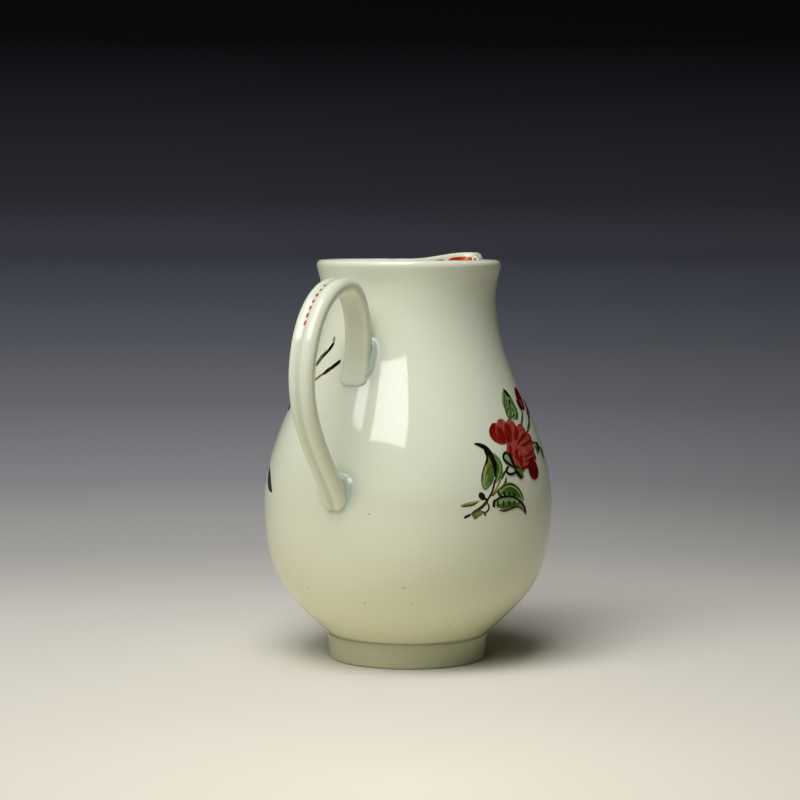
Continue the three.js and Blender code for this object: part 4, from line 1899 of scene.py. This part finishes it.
@dataclass(frozen=True)
class TablePaper(Finish):
    """Plain pale paper under the jug.

    It gives the eye a matt cream ground in the pool of light, darkened away from the jug by painted
    shade, which fades through a painted glow into a dark room behind. The light that it throws back
    on to the jug is painted in colours of its own and is duller on the right. Its lengths are metres.
    """

    name: str = "pale_table_paper"
    painted_falloff_tones: Stops = (
        (0.0, "#f1ecd8"),
        (0.3, "#b3b1ac"),
        (0.08, "#dfdacd"),
        (0.13, "#d7d3c8"),
        (0.195, "#d0cbc4"),
    )
    painted_glow_tones: Stops = (
        (0.0, "#d6d2c7"),
        (1.0, "#35363d"),
        (0.145, "#bfbab4"),
        (0.245, "#a1a09c"),
        (0.34, "#828285"),
        (0.477, "#64656a"),
        (0.607, "#505259"),
        (0.733, "#43464d"),
    )
    bounce: str = "#f8f6e2"
    dull_bounce: str = "#c6c4b1"
    bounce_span: Pair = (-0.03, 0.1)
    fade_span: Pair = (0.2, 0.45)
    roughness: float = 0.6

    def swatch(self) -> str:
        """Gives the paper's colour near the jug."""
        return self.painted_falloff_tones[0][1]

    def shade(self, tree: bpy.types.NodeTree) -> bpy.types.Node:
        """Builds the paper: lit near the jug with painted shade darkening it outwards, and a painted
        glow that fades evenly further off.

        Args:
            tree: The material's empty tree.

        Returns:
            Its last shader.
        """
        add = partial(add_node, tree)
        place = add("ShaderNodeTexCoord").outputs["Object"]
        aside = add("ShaderNodeSeparateXYZ", {0: place}).outputs["X"]
        rays = add("ShaderNodeLightPath").outputs
        away = add("ShaderNodeVectorMath", {0: place}, operation="LENGTH")
        start, end = self.fade_span
        fading = {"Value": away, "From Min": start, "From Max": end}
        fade = add("ShaderNodeMapRange", fading, interpolation_type="SMOOTHSTEP")
        power = add("ShaderNodeMath", {0: away, 1: 10.0}, operation="LOGARITHM")
        reach = add("ShaderNodeMapRange", {"Value": power, "From Min": -1.0, "From Max": 1.0})
        # Painted glow: the far table shines by itself, darker with distance and to the right
        distance = add("ShaderNodeValToRGB", {0: reach}, self.painted_glow_tones)
        # Painted shade: the paper's colour darkens away from the middle of the pool of light
        paper = add("ShaderNodeValToRGB", {0: away}, self.painted_falloff_tones)
        watching = {0: rays["Is Camera Ray"], 1: rays["Is Glossy Ray"]}
        seen = add("ShaderNodeMath", watching, operation="MAXIMUM")
        # Painted bounce light: the paper throws its own colours on to the jug, duller on the right
        left, right = self.bounce_span
        duller = add("ShaderNodeMapRange", {"Value": aside, "From Min": left, "From Max": right})
        thrown = {0: duller, 6: linear(self.bounce), 7: linear(self.dull_bounce)}
        bounce = add("ShaderNodeMix", thrown, data_type="RGBA")
        shown = add("ShaderNodeMix", {0: seen, 6: bounce, 7: paper}, data_type="RGBA")
        lit = add("ShaderNodeBsdfDiffuse", {"Color": shown, "Roughness": self.roughness})
        turned = add("ShaderNodeMath", {0: aside, 1: away}, operation="DIVIDE")
        dim = add("ShaderNodeMapRange", {"Value": turned, **PAINTED_SHADE_TO_THE_RIGHT})
        far = add("ShaderNodeEmission", {"Color": distance, "Strength": dim})
        return add("ShaderNodeMixShader", {0: fade, 1: lit, 2: far})


@dataclass(frozen=True)
class Lamp:
    """A soft box aimed at the jug, placed by its bearing from the camera. Its lengths are metres."""

    name: str
    bearing: float
    elevation: float
    wide: float
    tall: float
    watts: float
    mirrored: bool = False
    distance: float = 0.62


@dataclass
class Studio:
    """The table, the lamps, the room and the camera.

    The table's radius and the camera's far clip are metres.
    """

    bearing: float = 28.5
    distance: float = 493.0
    height: float = 93.07
    pitch: float = 4.186
    yaw: float = 0.2135
    roll: float = 0.204
    lens: float = 100.62
    far_clip: float = 100.0
    table_radius: float = 14.0
    table_sides: int = 96
    pool_of_light: float = 120.0
    aim_height: float = 55.0
    room_light: str = "#f2f4f8"
    room_strength: float = 0.008
    room_tones: Stops = ((0.0, "#35363d"), (0.12, "#08080a"), (0.016, "#292a30"), (0.086, "#0b0b0d"))
    lamps: tuple[Lamp, ...] = (
        Lamp("key_soft_box", -20.5, 58, 0.35, 0.55, 2.95, mirrored=True),
        Lamp("left_soft_box", -50.8, 42.5, 0.155, 0.18, 0.38, mirrored=True),
        Lamp("left_fill", -46, 50, 0.3, 0.3, 0.28),
        Lamp("overhead_fill", -15, 75, 0.4, 0.4, 0.85),
        Lamp("low_fill", -28, 12, 0.3, 0.2, 0.16),
    )

    def direction(self, bearing: float, elevation: float) -> Vector:
        """Gives a direction from the jug.

        Args:
            bearing: Degrees to the right of the camera.
            elevation: Degrees above level.

        Returns:
            The unit direction.
        """
        turn = math.radians(180 + self.bearing + bearing)
        lift = math.radians(elevation)
        return Vector((math.cos(lift) * math.cos(turn), math.cos(lift) * math.sin(turn), math.sin(lift)))

    def set_camera(self) -> None:
        """Places the camera where the photograph was taken from."""
        data = bpy.data.cameras.new("camera")
        data.lens = self.lens
        data.clip_end = self.far_clip
        camera = bpy.data.objects.new("camera", data)
        bpy.context.scene.collection.objects.link(camera)
        spot = self.direction(0, 0) * self.distance * MM + Vector((AXIS_X, 0, self.height * MM))
        turn = Matrix.Rotation(math.radians(self.yaw), 3, "Z")
        pitch = math.radians(self.pitch)
        level = turn @ -self.direction(0, 0)
        forward = level * math.cos(pitch) - Vector((0, 0, math.sin(pitch)))
        right = level.cross(Vector((0, 0, 1))).normalized()
        up = right.cross(forward)
        axes = Matrix((right, up, -forward)).transposed()
        axes = axes @ Matrix.Rotation(math.radians(self.roll), 3, "Z")
        camera.matrix_world = Matrix.Translation(spot) @ axes.to_4x4()
        bpy.context.scene.camera = camera

    def set_table(self) -> None:
        """Lays the table round the pool of light, with its own X to the right of the picture."""
        shape = bmesh.new()
        edge = {"segments": self.table_sides, "radius": self.table_radius}
        bmesh.ops.create_circle(shape, cap_ends=True, **edge)
        mesh = bpy.data.meshes.new("table")
        shape.to_mesh(mesh)
        shape.free()
        mesh.materials.append(TablePaper().material())
        table = bpy.data.objects.new("table", mesh)
        table.location = self.direction(0, 0) * self.pool_of_light * MM + Vector((AXIS_X, 0, 0))
        table.rotation_euler.z = math.radians(self.bearing - 90)
        bpy.context.scene.collection.objects.link(table)

    def set_lamp(self, lamp: Lamp) -> None:
        """Hangs one soft box.

        Args:
            lamp: The soft box.
        """
        data = bpy.data.lights.new(lamp.name, "AREA")
        data.shape = "RECTANGLE"
        data.size, data.size_y = lamp.wide, lamp.tall
        data.energy = lamp.watts
        light = bpy.data.objects.new(lamp.name, data)
        light.visible_glossy = lamp.mirrored
        aim = Vector((AXIS_X, 0, self.aim_height * MM))
        toward = self.direction(lamp.bearing, lamp.elevation)
        facing = toward.to_track_quat("Z", "Y").to_matrix().to_4x4()
        light.matrix_world = Matrix.Translation(aim + toward * lamp.distance) @ facing
        bpy.context.scene.collection.objects.link(light)

    def set_room(self) -> None:
        """Makes the dim room: an even weak light, seen as a dark fade above the table."""
        world = bpy.data.worlds.new("studio")
        world.use_nodes = True
        world.node_tree.nodes.clear()
        add = partial(add_node, world.node_tree)
        place = add("ShaderNodeTexCoord").outputs["Generated"]
        up = add("ShaderNodeSeparateXYZ", {0: place}).outputs["Z"]
        rays = add("ShaderNodeLightPath").outputs
        fade = add("ShaderNodeValToRGB", {0: up}, self.room_tones)
        seen = rays["Is Camera Ray"]
        for ray in ("Is Glossy Ray", "Is Transmission Ray"):
            seen = add("ShaderNodeMath", {0: seen, 1: rays[ray]}, operation="MAXIMUM")
        even = {"Color": linear(self.room_light), "Strength": self.room_strength}
        weak = add("ShaderNodeBackground", even)
        # Painted shade: the room, seen behind the jug and in reflections on it, darkens to the right
        to_the_right = {0: place, 1: self.direction(90, 0)}
        aside = add("ShaderNodeVectorMath", to_the_right, operation="DOT_PRODUCT")
        dim = add("ShaderNodeMapRange", {"Value": aside, **PAINTED_SHADE_TO_THE_RIGHT})
        dark = add("ShaderNodeBackground", {"Color": fade, "Strength": dim})
        mixed = add("ShaderNodeMixShader", {0: seen, 1: weak, 2: dark})
        add("ShaderNodeOutputWorld", {"Surface": mixed})
        bpy.context.scene.world = world

    def set_up(self) -> None:
        """Sets the whole studio up."""
        self.set_camera()
        self.set_table()
        self.set_room()
        for lamp in self.lamps:
            self.set_lamp(lamp)
        bpy.context.scene.view_settings.view_transform = "Standard"


def main() -> None:
    """Builds and dresses the jug, piece by piece, and sets up the studio."""
    logging.basicConfig(level=logging.INFO, format="%(name)s %(message)s")
    vessel = VesselShape()
    body = Body(vessel).dress()
    FootRing().dress()
    SparrowBeak(vessel).dress()
    handle = Handle(vessel)
    handle.dress()
    HandleSlip(vessel, "upper_collar", "upper_handle_slip", UPPER_JOINT).dress()
    lower_look = {"rise": 0.4, "bead": 1.4, "edge_pool": 0.4, "full_pool": 0.7}
    HandleSlip(vessel, "lower_collar", "lower_handle_slip", LOWER_JOINT, **lower_look).dress()
    EnamelWork(vessel, "near_spray", FLOWER_SPRAY, turn=-98.6, height=48.2).dress()
    EnamelWork(vessel, "far_spray", FLOWER_SPRAY, turn=92.0, height=53.0, mirrored=True).dress()
    EnamelWork(vessel, "far_blades", FAR_BLADES, turn=96.0, height=47.5).dress()
    EnamelWork(vessel, "seen_specks", SEEN_SPECKS, turn=-150.0, height=20.0).dress()
    RimBorder(vessel).dress()
    HandleDashes(handle).dress()
    GlazeSpecks(body).dress()
    Studio().set_up()


if __name__ == "__main__":
    main()
